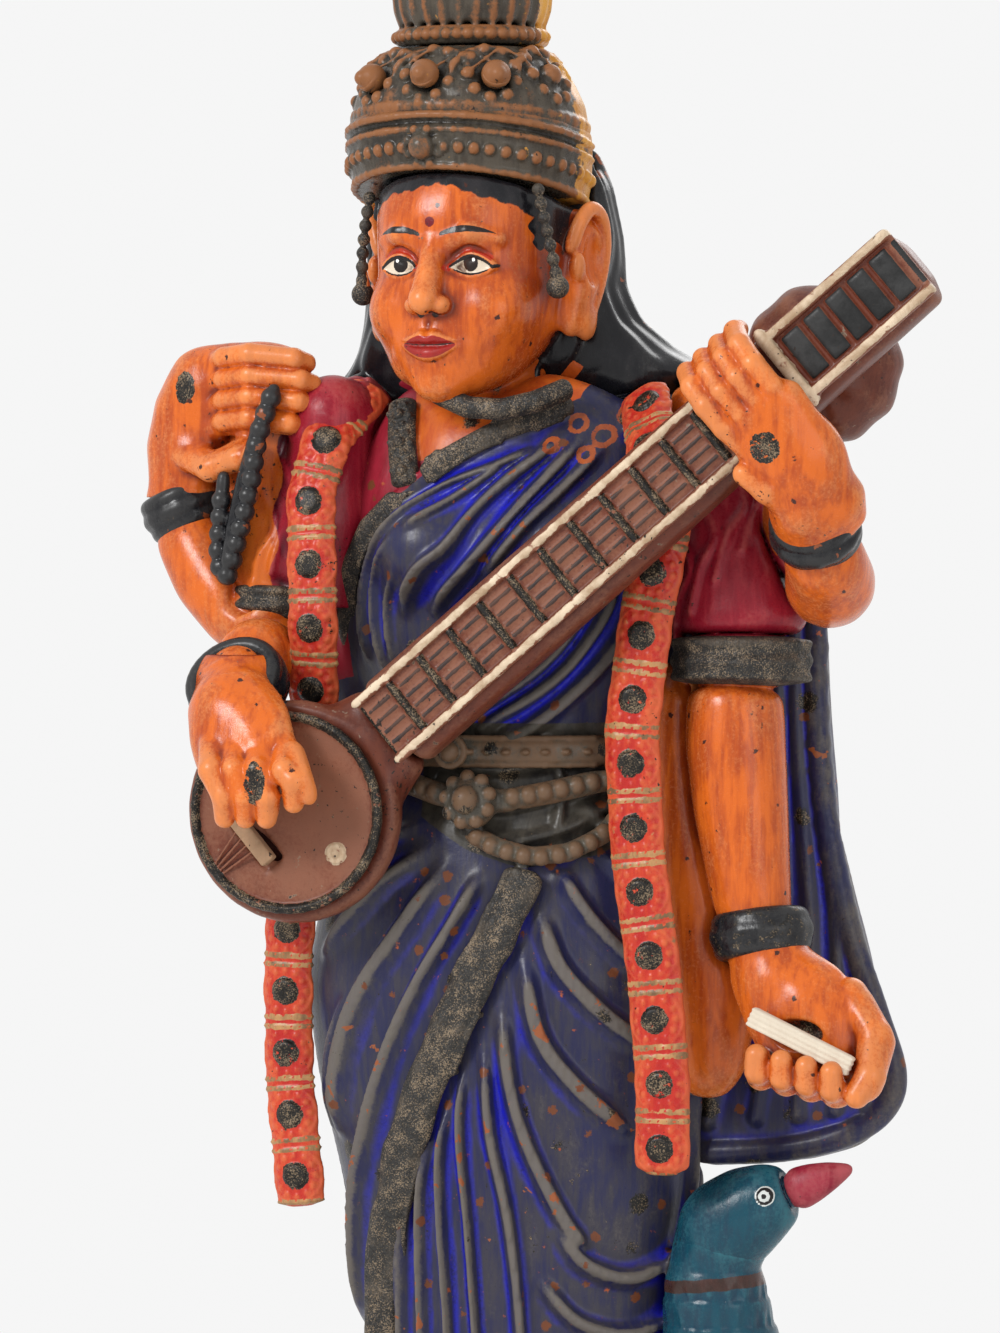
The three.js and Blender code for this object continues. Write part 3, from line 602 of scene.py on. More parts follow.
def painted(name, base, tint, deep, dust_and_highlight, dust_and_highlight_amount=0.7, deep_by=1.0, deep_from=0.05, gloss=0.4, dull=0.75,
            coat=0.0, streak=(1, 1, 0.3), rise=(-0.1, 0.75), grime_and_shade=(0.02, 0.012, 0.01), grime_and_shade_amount=0.5, masks=(),
            gritty_mask=None, flecks=0.0, fleck=(0.02, 0.013, 0.01), spots=(), chips=0.0,
            chip=(0.42, 0.13, 0.03)):
    """Old paint on clay: base and tint brushed together; in the hollows the deep colour, the paint's own
    where it is brighter and painted shade where it is darker, with dirt and more painted shade; on the ridges
    a dusting, which on skin is also a painted highlight; painted masks, flecks, spots and chips. gloss and
    dull are the roughness of clean and of dusted paint."""
    n = Nodes(name)
    ridge, wide = n.attribute("ridge"), n.attribute("wide")
    broad, mid, fine = n.noise(33, 4, 0.6), n.noise(140, 5, 0.65, 0.4, streak), n.noise(850, 3, 0.7)
    brush = n.noise(520, 2, 0.6, 0.2, (streak[0], streak[1], streak[2] * 0.3))
    colour = n.mix(n.step(n.total((mid, 0.7), (broad, 0.6), (brush, 0.5, 0.5)), 0.50, 0.80), base, tint)
    # The hollows take the deep colour: on the sari its own bright blue, and where it is darker than the base,
    # as on skin, painted shade.
    hollow = n.total((ridge, -0.5), (wide, -0.55), (broad, 0.8, 0.5), (mid, 0.5, 0.5))
    colour = n.mix(n.step(hollow, deep_from, deep_from + 0.65, 0.0, deep_by), colour, deep)
    # The ridges take a lighter colour: a dusting on most paints, and on skin also a painted highlight.
    high = n.total((ridge, 0.5), (wide, 0.35), (mid, 1.8, 0.5), (fine, 1.1, 0.5), (broad, 0.9, 0.5))
    dust_and_highlight_share = n.step(high, rise[0], rise[1], 0.0, dust_and_highlight_amount)
    colour = n.mix(dust_and_highlight_share, colour, dust_and_highlight)
    rough = n.step(dust_and_highlight_share, 0.0, 1.0, gloss, dull)
    for mask, paint, other in masks:
        ragged = (n.noise(240, 3, 0.6), 2.4 if mask in WORN else 0.5, 0.52)
        edge = n.total((n.attribute(mask), 1.0), (fine, 0.5, 0.5), ragged)
        colour = n.mix(n.step(edge, 0.38, 0.62), colour, n.mix(n.step(mid, 0.35, 0.65), paint, other))
    if gritty_mask:
        edge = n.total((n.attribute(gritty_mask), 1.0), (n.noise(420, 3, 0.7), 2.4, 0.5), (mid, 1.4, 0.5))
        colour = n.mix(n.step(edge, 0.5, 0.66), colour, n.grit())
    if flecks:
        speck = n.total((n.noise(480, 2, 0.7), 1.0), (n.noise(30, 2), 0.6, 0.5))
        colour = n.mix(n.step(speck, 0.80 - 0.1 * flecks, 0.84 - 0.1 * flecks), colour, fleck)
    for scale, share, radius, paint in spots:
        patches = n.spots(scale, share, radius * MM, fine)
        colour = n.mix(patches, colour, n.grit() if paint == "grit" else paint)
    if chips:
        flake = n.total((n.noise(170, 3, 0.55, 0.4), 1.0), (n.noise(27, 2), 0.7, 0.5), (ridge, 0.05))
        colour = n.mix(n.step(flake, 0.80 - 0.1 * chips, 0.82 - 0.1 * chips), colour, chip)
    # Darker towards the hollows and in patches: dirt in the patches, and painted shade in the hollows.
    grime_and_shade_mask = n.total((ridge, -0.45), (wide, -0.25), (mid, 1.5, 0.5), (fine, 0.9, 0.5), (broad, 1.2, 0.5))
    colour = n.mix(n.step(grime_and_shade_mask, 0.25, 1.0, 0.0, grime_and_shade_amount), colour, grime_and_shade)
    n.shader.inputs["Specular IOR Level"].default_value = PAINT_SPECULAR
    if coat:
        n.shader.inputs["Coat Weight"].default_value = coat
        n.shader.inputs["Coat Roughness"].default_value = COAT_ROUGHNESS
    rough = n.total((rough, 1.0), (fine, 0.35, 0.5))
    return n.finish(colour, rough, n.total((fine, 0.7), (mid, 1.3), (brush, 0.5)), BRUSHWORK)


def crusted(name, dull, deep, masks=()):
    """Black trim under a crust of fine grit, worn brown in places."""
    n = Nodes(name)
    ridge, wide = n.attribute("ridge"), n.attribute("wide")
    worn, grain, coarse = n.noise(90, 3, 0.6), n.noise(1150, 2, 0.65), n.cells(800).outputs["Distance"]
    colour = n.mix(n.step(n.total((worn, 1.0), (ridge, 0.08)), 0.56, 0.80, 0.0, 0.8), n.grit(), dull)
    # The hollows go near black: painted shade.
    colour = n.mix(n.step(n.total((ridge, -0.5), (wide, -0.4)), 0.1, 0.8), colour, deep)
    for mask, paint, other in masks:
        edge = n.total((n.attribute(mask), 1.0), (grain, 0.5, 0.5))
        colour = n.mix(n.step(edge, 0.38, 0.62), colour, n.mix(n.step(worn, 0.4, 0.6), paint, other))
    rough = n.step(grain, 0.35, 0.65, 0.5, 0.85)
    return n.finish(colour, rough, n.total((grain, 1.4), (coarse, -0.7)), GRIT_DEPTH, 0.9)


BLACK, CREAM = (0.010, 0.009, 0.009), (0.62, 0.50, 0.36)
HAIR = (0.006, 0.006, 0.008)
# On skin the pale peach on the ridges is a painted highlight, and the dark brown in the hollows is painted
# shade.
skin = painted(
    "skin", (0.56, 0.112, 0.012), (0.34, 0.050, 0.008), (0.20, 0.022, 0.005), (0.72, 0.27, 0.085),
    dust_and_highlight_amount=0.55, gloss=0.24, dull=0.42, coat=0.12, rise=(0.1, 1.0), flecks=0.45,
    fleck=(0.04, 0.015, 0.010), grime_and_shade=(0.085, 0.020, 0.008), grime_and_shade_amount=0.8, gritty_mask="grit",
    spots=[(120, 0.5, 0.8, (0.05, 0.015, 0.010))],
    masks=[
        ("flush", (0.44, 0.035, 0.012), (0.36, 0.025, 0.012)),
        ("lips", (0.30, 0.018, 0.014), (0.24, 0.014, 0.012)),
        ("white", (0.66, 0.57, 0.45), (0.56, 0.46, 0.35)), ("iris", BLACK, (0.02, 0.01, 0.008)),
        ("ink", BLACK, (0.016, 0.009, 0.008)), ("bindi", (0.13, 0.004, 0.010), (0.10, 0.004, 0.008)),
        # The white spot in each eye is a painted highlight.
        ("hair", HAIR, (0.018, 0.016, 0.018)), ("spark", (0.9, 0.88, 0.85), (0.9, 0.88, 0.85))])
saree = painted(
    "saree", (0.017, 0.018, 0.058), (0.036, 0.033, 0.046), (0.010, 0.012, 0.42), (0.125, 0.108, 0.090),
    dust_and_highlight_amount=0.8, gloss=0.34, dull=0.6, coat=0.06, streak=(1, 1, 0.35), rise=(0.2, 1.35), deep_from=0.14,
    grime_and_shade=(0.010, 0.009, 0.012), grime_and_shade_amount=0.9, chips=0.2, chip=(0.24, 0.07, 0.025), gritty_mask="grit",
    masks=[
        ("blouse", (0.26, 0.014, 0.028), (0.19, 0.009, 0.018)),
        ("bare", (0.54, 0.115, 0.014), (0.40, 0.060, 0.010)),
        ("hem", (0.055, 0.048, 0.038), (0.020, 0.018, 0.016)),
        ("blossom", (0.36, 0.085, 0.025), (0.22, 0.05, 0.02))],
    spots=[(95, 0.55, 1.7, (0.13, 0.040, 0.016)), (62, 0.45, 3.4, "grit")])
blouse = painted(
    "blouse", (0.21, 0.007, 0.018), (0.29, 0.016, 0.028), (0.07, 0.003, 0.010), (0.40, 0.085, 0.075),
    dust_and_highlight_amount=0.55, flecks=0.8, gloss=0.3, rise=(0.1, 1.0), grime_and_shade_amount=0.8,
    masks=[("bare", (0.54, 0.12, 0.016), (0.42, 0.07, 0.012))])
black = painted(
    "black", HAIR, (0.010, 0.010, 0.012), (0.003, 0.003, 0.003), (0.036, 0.035, 0.034), dust_and_highlight_amount=0.5,
    gloss=0.2, dull=0.5, coat=0.12, rise=(0.15, 1.1), chips=0.45, chip=(0.20, 0.055, 0.020),
    gritty_mask="grit", grime_and_shade=(0.004, 0.004, 0.005))
bronze = painted(
    "bronze", (0.068, 0.056, 0.042), (0.036, 0.029, 0.022), (0.018, 0.015, 0.012), (0.225, 0.088, 0.032),
    dust_and_highlight_amount=0.95, gloss=0.27, dull=0.4, rise=(0.25, 0.95), flecks=0.4, deep_by=0.9,
    grime_and_shade=(0.012, 0.010, 0.008), grime_and_shade_amount=0.9,
    masks=[("hair", HAIR, (0.02, 0.02, 0.02)), ("ochre", (0.58, 0.29, 0.050), (0.44, 0.18, 0.028))])
ochre = painted(
    "ochre", (0.58, 0.29, 0.050), (0.44, 0.18, 0.028), (0.28, 0.11, 0.020), (0.66, 0.42, 0.15), dust_and_highlight_amount=0.5,
    gloss=0.42, streak=(1, 1, 0.2), flecks=0.6, fleck=(0.12, 0.03, 0.01), chips=0.15,
    chip=(0.12, 0.035, 0.012))
garland = painted(
    "garland", (0.38, 0.018, 0.014), (0.48, 0.045, 0.018), (0.15, 0.006, 0.007), (0.60, 0.17, 0.055),
    dust_and_highlight_amount=0.4, gloss=0.3, rise=(0.35, 1.25), flecks=0.6, grime_and_shade=(0.06, 0.008, 0.006), grime_and_shade_amount=0.75,
    gritty_mask="rosette",
    masks=[("band", (0.42, 0.22, 0.09), (0.14, 0.08, 0.04))])
trim = crusted(
    "trim", (0.052, 0.040, 0.028), (0.008, 0.007, 0.007),
    masks=[("chip", (0.30, 0.08, 0.028), (0.14, 0.05, 0.022))])
beltwork = painted(
    "beltwork", (0.080, 0.070, 0.054), (0.048, 0.042, 0.033), (0.012, 0.011, 0.010),
    (0.140, 0.078, 0.042), dust_and_highlight_amount=0.8, gloss=0.28, dull=0.46, rise=(0.2, 1.1), flecks=0.5,
    grime_and_shade=(0.009, 0.008, 0.007), grime_and_shade_amount=0.9,
    spots=[(90, 0.5, 2.2, "grit")])
wood = painted(
    "wood", (0.125, 0.032, 0.017), (0.080, 0.019, 0.012), (0.034, 0.009, 0.007), (0.25, 0.105, 0.06),
    dust_and_highlight_amount=0.6, gloss=0.34, dull=0.55, rise=(0.05, 0.95), flecks=0.6, streak=(0.5, 1, 0.5),
    gritty_mask="grit", grime_and_shade=(0.022, 0.010, 0.007), grime_and_shade_amount=0.85,
    masks=[
        ("cream", CREAM, (0.34, 0.23, 0.14)), ("string", (0.025, 0.02, 0.02), (0.07, 0.035, 0.025)),
        ("tile", (0.012, 0.012, 0.012), (0.03, 0.03, 0.03))])
bridgework = painted(
    "bridgework", (0.22, 0.10, 0.055), (0.13, 0.05, 0.028), (0.05, 0.02, 0.012), (0.36, 0.24, 0.14),
    dust_and_highlight_amount=0.6, flecks=0.9)
leaf = painted(
    "leaf", (0.56, 0.48, 0.37), (0.47, 0.38, 0.28), (0.22, 0.13, 0.08), (0.66, 0.60, 0.50), dust_and_highlight_amount=0.5,
    gloss=0.5, flecks=0.6)
teal = painted(
    "teal", (0.004, 0.052, 0.080), (0.008, 0.034, 0.060), (0.003, 0.018, 0.045), (0.030, 0.145, 0.175),
    dust_and_highlight_amount=0.65, flecks=0.6, gloss=0.25, coat=0.1, rise=(0.1, 1.0), grime_and_shade=(0.005, 0.012, 0.018),
    grime_and_shade_amount=0.85,
    masks=[
        ("ring", (0.06, 0.025, 0.02), (0.03, 0.015, 0.012)),
        ("white", (0.6, 0.64, 0.62), (0.5, 0.52, 0.5)), ("ink", BLACK, BLACK),
        ("gold", (0.35, 0.22, 0.05), (0.25, 0.13, 0.03))])
crimson = painted(
    "crimson", (0.20, 0.006, 0.022), (0.28, 0.020, 0.04), (0.09, 0.003, 0.010), (0.34, 0.09, 0.09),
    dust_and_highlight_amount=0.5, rise=(0.4, 1.2), grime_and_shade_amount=0.9, flecks=0.9)
base = painted(
    "base", (0.15, 0.030, 0.016), (0.09, 0.018, 0.011), (0.045, 0.010, 0.007), (0.24, 0.11, 0.07),
    dust_and_highlight_amount=0.7, chips=0.6, gloss=0.45,
    masks=[("ochre", (0.44, 0.22, 0.05), (0.34, 0.15, 0.035))])
PAINT = dict(skin=skin, saree=saree, blouse=blouse, black=black, bronze=bronze, ochre=ochre, garland=garland,
             trim=trim, wood=wood, leaf=leaf, teal=teal, crimson=crimson, base=base)

# ---- Pieces.

HEAD = Place((-11, -8, 481), -7)
CROWN = Place((-14.5, -5, 0), -7)
BODY_AXIS = (-2.0, 1.0)
SEAM = 3.0                     # the front and back moulds meet here
FRONT = -30.0                  # where points given by x and z alone lie, before they are laid on the clay
EDGE = 0.8                     # half the width of the soft edge of a painted outline
FULL_TURN = np.arange(0, 361, 20)


def curve(points, n=6):
    """A smooth line through points."""
    p = np.array(points, dtype=float)
    p = np.concatenate([[2 * p[0] - p[1]], p, [2 * p[-1] - p[-2]]])
    line = []
    for a, b, c, d in zip(p[:-3], p[1:-2], p[2:-1], p[3:]):
        for t in np.arange(n) / n:
            line.append(0.5 * (2 * b + (c - a) * t + (2 * a - 5 * b + 4 * c - d) * t * t
                               + (3 * b - a - 3 * c + d) * t ** 3))
    return np.array(line + [p[-2]])


def in_outline(x, z, corners):
    """1 inside an outline of corners and 0 outside, over a soft edge."""
    inside, nearest = np.zeros(len(x), bool), np.full(len(x), FAR)
    corners = np.array(corners, dtype=float)
    for a, b in zip(corners, np.roll(corners, -1, axis=0)):
        e = b - a
        t = np.clip(((x - a[0]) * e[0] + (z - a[1]) * e[1]) / max(e @ e, TINY), 0, 1)
        nearest = np.minimum(nearest, np.hypot(x - a[0] - t * e[0], z - a[1] - t * e[1]))
        if a[1] != b[1]:
            inside ^= ((a[1] > z) != (b[1] > z)) & (x < a[0] + (z - a[1]) / (b[1] - a[1]) * e[0])
    return smooth(np.where(inside, nearest, -nearest), -EDGE, EDGE)


def onto(clay, points, direction=(0, 1, 0), back=60.0):
    """The surface points met when coming from in front of the given points along a direction."""
    d = np.array(direction, dtype=float)
    d /= np.linalg.norm(d)
    return clay.cast(np.array(points, dtype=float) - d * back, d)


def front_line(clay, flat):
    """A smooth line through x, z points, laid on the front of the clay."""
    flat = curve(flat) if len(flat) > 2 else np.array(flat, dtype=float)
    return onto(clay, np.stack([flat[:, 0], np.full(len(flat), FRONT), flat[:, 1]], axis=1))


def on_front(clay, x, z):
    return onto(clay, [(x, FRONT, z)])[0]


def face_on(p):
    """Where points lie in a relief that is drawn from straight in front."""
    return p[:, 0], p[:, 2], 1.0


def beads(clay, points, radius, pitch, sink=0.35):
    """Beads strung along a line, sunk a little into the clay."""
    line = Spine(points, (0.1, -1, 0.05))
    count = max(1, round(line.length / pitch))
    for i in range(count):
        clay.ball(line.at((i + 0.5) * line.length / count) + (0, radius * sink, 0), radius, 0.5)


def ripple(clay, height):
    """Displaces the surface by a height worked out from the points near it."""
    near = np.nonzero(np.abs(clay.field) < 3.0)
    clay.field[near] -= height((np.stack(near, axis=1) + clay.start) * clay.voxel)


def plain(name, voxel, soften, blend=2.5, masks=None, detail=None, paint=None):
    """A piece for one CAD node: softened, drawn up to its neighbours and worked over by detail(clay)."""
    clay = Clay([name], voxel, soften)
    clay.settle(blend)
    if detail:
        detail(clay)
    make_piece(name, clay, masks, paint=paint)


def plinth():
    clay = Clay(["plinth"], 0.9, 0.8)
    low, high = node_box("plinth")
    middle, half = (low + high) / 2, (high - low) / 2
    corner, petals = 34.0, 6.0     # the corners' radius, and how far in from the edge the petals are drawn

    def outline(inset):
        w, d, r = half[0] - inset, half[1] - inset, corner - inset
        turns = np.radians(np.arange(0, 361, 10.0))
        points = []
        for a in turns:
            x = middle[0] + math.copysign(w - r, math.cos(a + 1e-6)) + r * math.cos(a)
            points.append((x, middle[1] + math.copysign(d - r, math.sin(a + 1e-6)) + r * math.sin(a), 0.0))
        return np.array(points + points[:1])

    line = Spine(outline(petals), side=(0, 0, 1), reach=5.0)
    relief = Relief(line.place, (0, line.length), (-2, 34), 0.4)
    count = round(line.length / 15.0)
    for i in range(count):
        u = (i + 0.5) * line.length / count
        relief.dot((u, 20.5), 6.6, 1.3, shape="soft", stretch=(1, 1.25))
        relief.ring((u, 20.5), 5.0, 0.9, 0.7, "ochre", stretch=(1, 1.25))
    relief.line([(0, 13.4), (line.length, 13.4)], 1.0, 1.0)
    relief.line([(0, 28.0), (line.length, 28.0)], 1.2, 1.0, "ochre")
    clay.press(relief)
    for z in (2.6, 9.4):
        clay.rod(outline(0.6) + (0, 0, z), 1.3, 0.8)

    def masks(p):
        u, v, weight = line.place(p)
        return {"ochre": relief.read("ochre", u, v) * weight}
    make_piece("plinth", clay, masks)


# Each toe's place across the foot, how far forward it reaches, and its radius.
TOES = [(-7.5, 60.5, 3.1), (-3.2, 60.8, 2.6), (0.8, 60.0, 2.5), (4.4, 58.8, 2.4), (7.6, 57.0, 2.2)]


def feet():
    for side, name in ((-1, "foot_right"), (1, "foot_left")):
        def toes(clay):
            for across, reach, radius in TOES:
                x = side * (24 + across)
                toe = [(x, -50, 37.5), (x, 3 - reach, 35.8), (x, radius - reach, 34.6)]
                clay.rod(toe, [radius, radius, radius * 0.95], 1.0)
        plain(name, 0.6, 1.2, 2.5, detail=toes)


CHEST_BORDER = [(24, 437), (10, 431), (-4, 426), (-20, 416), (-37, 403), (-48, 388), (-52, 370), (-50, 350)]
# Folds of the sari as x, z points on her front, with each one's half width and height.
CHEST_FOLDS = [
    ([(17, 424), (0, 417), (-14, 411.5), (-27, 403), (-36, 394), (-41, 384), (-43.5, 372), (-43, 356)],
     2.0, 1.7),
    ([(8, 421), (-3, 412.5), (-13, 405.5), (-24, 399)], 2.6, 1.9),
    ([(-30, 396), (-37, 384), (-39, 372), (-37, 354)], 1.8, 1.5),
    ([(-30, 384), (-33.5, 372), (-33, 357)], 1.8, 1.4),
    ([(23, 427), (8, 414.5), (-2, 404), (-10, 392), (-19, 384), (-27, 372)], 3.4, 2.6),
    ([(29, 427), (15, 410), (5, 396), (-5, 384), (-16, 372)], 3.4, 2.8),
    ([(36, 425), (23, 410), (12, 396), (2, 384)], 3.2, 2.3),
    ([(47, 386), (42, 368), (30, 350), (14, 335), (4, 331)], 4.2, 2.8),
    ([(41, 384), (33, 366), (20, 349), (-2, 334)], 3.6, 2.4),
    ([(33, 378), (24, 362), (10, 348), (-14, 334)], 3.4, 2.0),
    ([(49, 372), (47, 350), (38, 338)], 3.0, 2.0),
]
SKIRT_FOLDS = [
    ([(0, 288), (-8, 273), (-18, 256), (-30, 231), (-40, 203), (-46, 180), (-50, 140)], 3.6, 2.8),
    ([(-12, 290), (-24, 272), (-38, 252), (-48, 230), (-53, 205)], 4.4, 3.0),
    ([(-18, 296), (-36, 282), (-56, 262)], 4.0, 2.6),
    ([(-22, 303), (-42, 296), (-60, 282)], 3.2, 2.2),
    ([(-46, 250), (-54, 228), (-57, 205)], 3.0, 1.8),
    ([(24, 290), (30, 279), (39, 267), (48, 257)], 4.0, 2.8),
    ([(19, 276), (24, 260), (36, 245), (50, 232)], 4.6, 3.2),
    ([(14, 262), (18, 238), (28, 222), (42, 208)], 4.6, 3.2),
    ([(7, 245), (9, 222), (14, 203), (24, 180), (30, 170)], 4.2, 3.0),
    ([(36, 296), (44, 284), (52, 272)], 3.2, 2.0),
    ([(1, 232), (3, 205), (8, 178), (11, 140), (12, 95), (10, 45)], 3.6, 2.8),
    ([(-6, 226), (-7, 205), (-5, 178), (-3, 140), (0, 95), (0, 45)], 2.8, 2.4),
    ([(-12, 214), (-14, 190), (-12, 140), (-11, 95), (-10, 45)], 2.8, 2.4),
    ([(-18, 204), (-21, 180), (-21, 140), (-20, 95), (-19, 45)], 2.8, 2.3),
    ([(-25, 192), (-28, 160), (-29, 120), (-29, 80), (-28, 45)], 2.8, 2.2),
    ([(22, 178), (30, 165), (44, 160), (58, 170)], 4.2, 2.8),
    ([(17, 160), (28, 146), (44, 142), (56, 152)], 4.0, 2.6),
    ([(15, 138), (26, 124), (40, 120), (50, 128)], 4.0, 2.4),
    ([(14, 112), (24, 98), (38, 96), (48, 104)], 3.8, 2.2),
    ([(22, 92), (22, 70), (20, 45)], 3.6, 2.2),
    ([(33, 90), (32, 66), (30, 45)], 3.6, 2.2),
    ([(42, 92), (42, 66), (40, 45)], 3.4, 2.0),
]


# Rings stamped at the shoulder, as x, z and radius, and outlines of painted areas.
BLOSSOMS = [(27, 431, 2.6), (35, 427, 3.0), (31, 421, 2.2), (40, 434, 2.4), (20, 424, 2.0)]
BELTED = [(-24, 336), (52, 336), (50, 302), (34, 294), (12, 290), (-6, 296), (-22, 306)]
BODICE = CHEST_BORDER + [(-90, 340), (-90, 460), (24, 460)]
SHOULDER_PATCH = [(40, 452), (47, 424), (60, 416), (80, 416), (80, 452)]
THROAT = [(-34, 456), (-29, 436), (-25, 419), (-14, 422), (4, 430), (26, 439), (30, 456)]
# Folds across the belly between and under the belts.
BELLY_FOLDS = [
    [(-24, 326), (0, 321), (30, 323), (54, 327)], [(-20, 317), (6, 309), (28, 312), (52, 318)],
    [(-6, 303), (14, 299), (34, 303), (50, 310)], [(28, 330), (34, 318), (31, 304)]]


def body():
    clay = Clay(["body_front_shell", "body_back_shell"], 0.8, 1.0)
    clay.fill_across()
    clay.rod([(-42, -6, 410), (-50, -6, 378), (-53, -6, 346)], [12.0, 13.5, 13.0], 6.0)
    clay.field = blur(clay.field, 4.0 / clay.voxel)

    def wrap(p):
        angle = np.arctan2(p[:, 0] - BODY_AXIS[0], BODY_AXIS[1] - p[:, 1])
        return angle * 50.0, p[:, 2], 1.0

    relief = Relief(wrap, (-158, 158), (26, 462), 0.5)
    for folds in (CHEST_FOLDS, SKIRT_FOLDS):
        for flat, width, height in folds:
            line = front_line(clay, flat)
            u, v, _ = wrap(line)
            ends = smooth(np.minimum(np.arange(len(u)), np.arange(len(u))[::-1] + 1.0), -1.0, 4.0)
            drawn = np.stack([u, v], axis=1)
            relief.line(drawn, width * 1.25, height * ends, shape="soft")
            relief.line(drawn, width * 0.5, height * 0.35 * ends, join=np.add)
    # Behind, pleats hang from the waist and the cloth is drawn up to her left shoulder.
    for k in range(13):
        u = 76 + k * 13.4 - (316 if k > 6 else 0)
        sway = 3.0 * math.sin(k * 2.1)
        drop = curve([(u, 306 - 4 * (k % 3)), (u * 1.01 + sway, 240), (u - sway, 160), (u + sway, 90),
                      (u, 36)])
        relief.line(drop, 4.4, 2.6, shape="soft")
    for k in range(6):
        for sweep in ([(-95 - 9 * k, 400 - 12 * k), (-130, 372 - 9 * k), (-157, 352 - 6 * k)],
                      [(157, 352 - 6 * k), (128, 338 - 5 * k), (96, 334 - 3 * k)]):
            relief.line(curve(sweep), 3.2, 1.8, shape="soft")
    relief.line([(-158, 318), (-80, 322), (-76, 322)], 4.0, 2.0, "hem")
    relief.line([(158, 318), (80, 322), (76, 322)], 4.0, 2.0, "hem")
    for z, width in ((35, 2.4), (44, 1.4)):
        relief.line([(-158, z), (158, z)], width, 1.3, "hem")
    for flat in BELLY_FOLDS:
        relief.line(curve(flat, 3), 3.4, 1.8, shape="soft")
    relief.dot((6, 312), 7.5, 2.2, shape="soft")
    relief.dot((44, 307), 6.5, 2.0, shape="soft")
    clay.press(relief)
    clay.settle(2.0)
    whole = clay.field

    def masks(p):
        u, v, _ = wrap(p)
        front = smooth(-p[:, 1], -SEAM - 2.0, 0.0)
        bodice, shoulder, throat, belted = (
            in_outline(p[:, 0], v, corners) * front for corners in (BODICE, SHOULDER_PATCH, THROAT, BELTED))
        rings = [smooth(np.abs(np.hypot(p[:, 0] - x, v - z) - r), 1.2, 0.5) for x, z, r in BLOSSOMS]
        return {"blouse": np.maximum(bodice, shoulder), "bare": throat,
                "blossom": np.max(rings, axis=0) * front, "hem": np.maximum(relief.read("hem", u, v), belted)}

    for name, sign in (("body_front_shell", 1), ("body_back_shell", -1)):
        clay.field = whole.copy()
        clay.trim(lambda x, y, z: sign * (y - SEAM))
        make_piece(name, clay, masks)


def cape():
    def drape(clay):
        relief = Relief(face_on, (0, 140), (185, 445), 0.5)
        for k, (top, low) in enumerate([(70, 44), (76, 62), (84, 78), (90, 92), (95, 104), (98, 114)]):
            points = curve([(top, 400 - 6 * k), (top + 1, 330), ((top + low) / 2 + 5, 262),
                            (low, 206 + 1.6 * k)])
            relief.line(points, 4.0 + 0.4 * (k % 2), 1.8, shape="soft")
        clay.press(relief)
        hem = [(96, 10, 380), (98, 9, 320), (106, 9, 275), (116, 9, 245), (122, 10, 224), (118, 9, 212),
               (106, 6, 204), (86, 5, 199), (60, 5, 197)]
        clay.rod(curve(hem), 3.0, 3.0)
    plain("pallu_cape", 0.8, 2.5, 3.0, detail=drape)


SHOULDER = 51.0                # the rear left arm's clay begins here, inside the shoulder
BLOUSE_FLOOR = 352.0           # the right sleeve's clay ends here, behind the lute's bowl


def arms():
    def cut(clay):
        clay.trim(lambda x, y, z: SHOULDER - x)

    for name in ("forearm_rear_right", "forearm_front_right", "forearm_rear_left", "arm_rear_left",
                 "arm_front_left", "arm_web_left"):
        plain(name, 0.75, 2.4, 3.5, detail=cut if name == "arm_rear_left" else None)
    for name in ("sleeve_right", "sleeve_left"):
        low, high = node_box(name)

        def creases(clay):
            relief = Relief(face_on, (low[0] - 4, high[0] + 4), (low[2] - 4, high[2] + 4), 0.5)
            for k in range(5):
                x = low[0] + (high[0] - low[0]) * (0.3 + 0.16 * k)
                z = low[2] + (high[2] - low[2]) * (0.3 + 0.13 * k)
                crease = curve([(x - 6, z - 24), (x - 3, z - 10), (x + 2, z), (x - 4, z + 12)])
                relief.line(crease, 2.6, 1.3, shape="soft")
            clay.press(relief)
            if name == "sleeve_right":             # the moulded ground between the arm and the bust
                clay.rod([(-58, -17, 434), (-60, -17, 400), (-60, -14, 356)], [13, 15, 12], 4.0)
                clay.rod([(-82, -14, 432), (-85, -13, 404), (-80, -16, 380)], [11, 13, 12], 4.0)
                clay.field = np.maximum(clay.field, BLOUSE_FLOOR - clay.axes()[2][None, None, :])

        def bare(p):
            return {"bare": smooth(p[:, 0] + 1.5 * np.sin(p[:, 2] * 0.3), -72.0, -75.0)}
        plain(name, 0.75, 2.0, 3.0, bare, creases)


RING_INSET = 2.4               # how far a bangle's rings run inside the CAD ring's own middle line


def bands():
    """The sleeve trims, and the bangles: each a broad cuff of three rings, shaped round its CAD ring."""
    for name in ("bangle_rear_right", "bangle_front_right", "bangle_rear_left", "bangle_front_left"):
        clay = Clay([name], 0.5, 0.9, margin=9.0)
        points, _ = soup([name])
        centre = (points.min(axis=0) + points.max(axis=0)) / 2
        spread, (first, second, axis) = np.linalg.svd(points - points.mean(axis=0), full_matrices=False)[1:]
        a, b = spread[:2] * math.sqrt(2.0 / len(points)) - RING_INSET
        turns = np.radians(np.arange(0, 361, 12))
        circle = centre + np.outer(np.cos(turns) * a, first) + np.outer(np.sin(turns) * b, second)
        for offset, radius in ((-4.6, 2.5), (0.0, 2.9), (4.6, 2.5)):
            clay.rod(circle + axis * offset, radius, 1.3)
        clay.settle(2.0)
        gritty = 0.42 if name == "bangle_front_left" else 0.0
        make_piece(name, clay, lambda p: {"grit": np.full(len(p), gritty)})
    for name in ("sleeve_trim_right", "sleeve_trim_left"):
        low, high = node_box(name)
        plain(name, 0.5, 0.9, 1.5, detail=lambda clay: ripple(
            clay, lambda p: 0.5 * np.cos(
                (p[:, 2] - (low[2] + high[2]) / 2) / (high[2] - low[2]) * 6 * math.pi)))


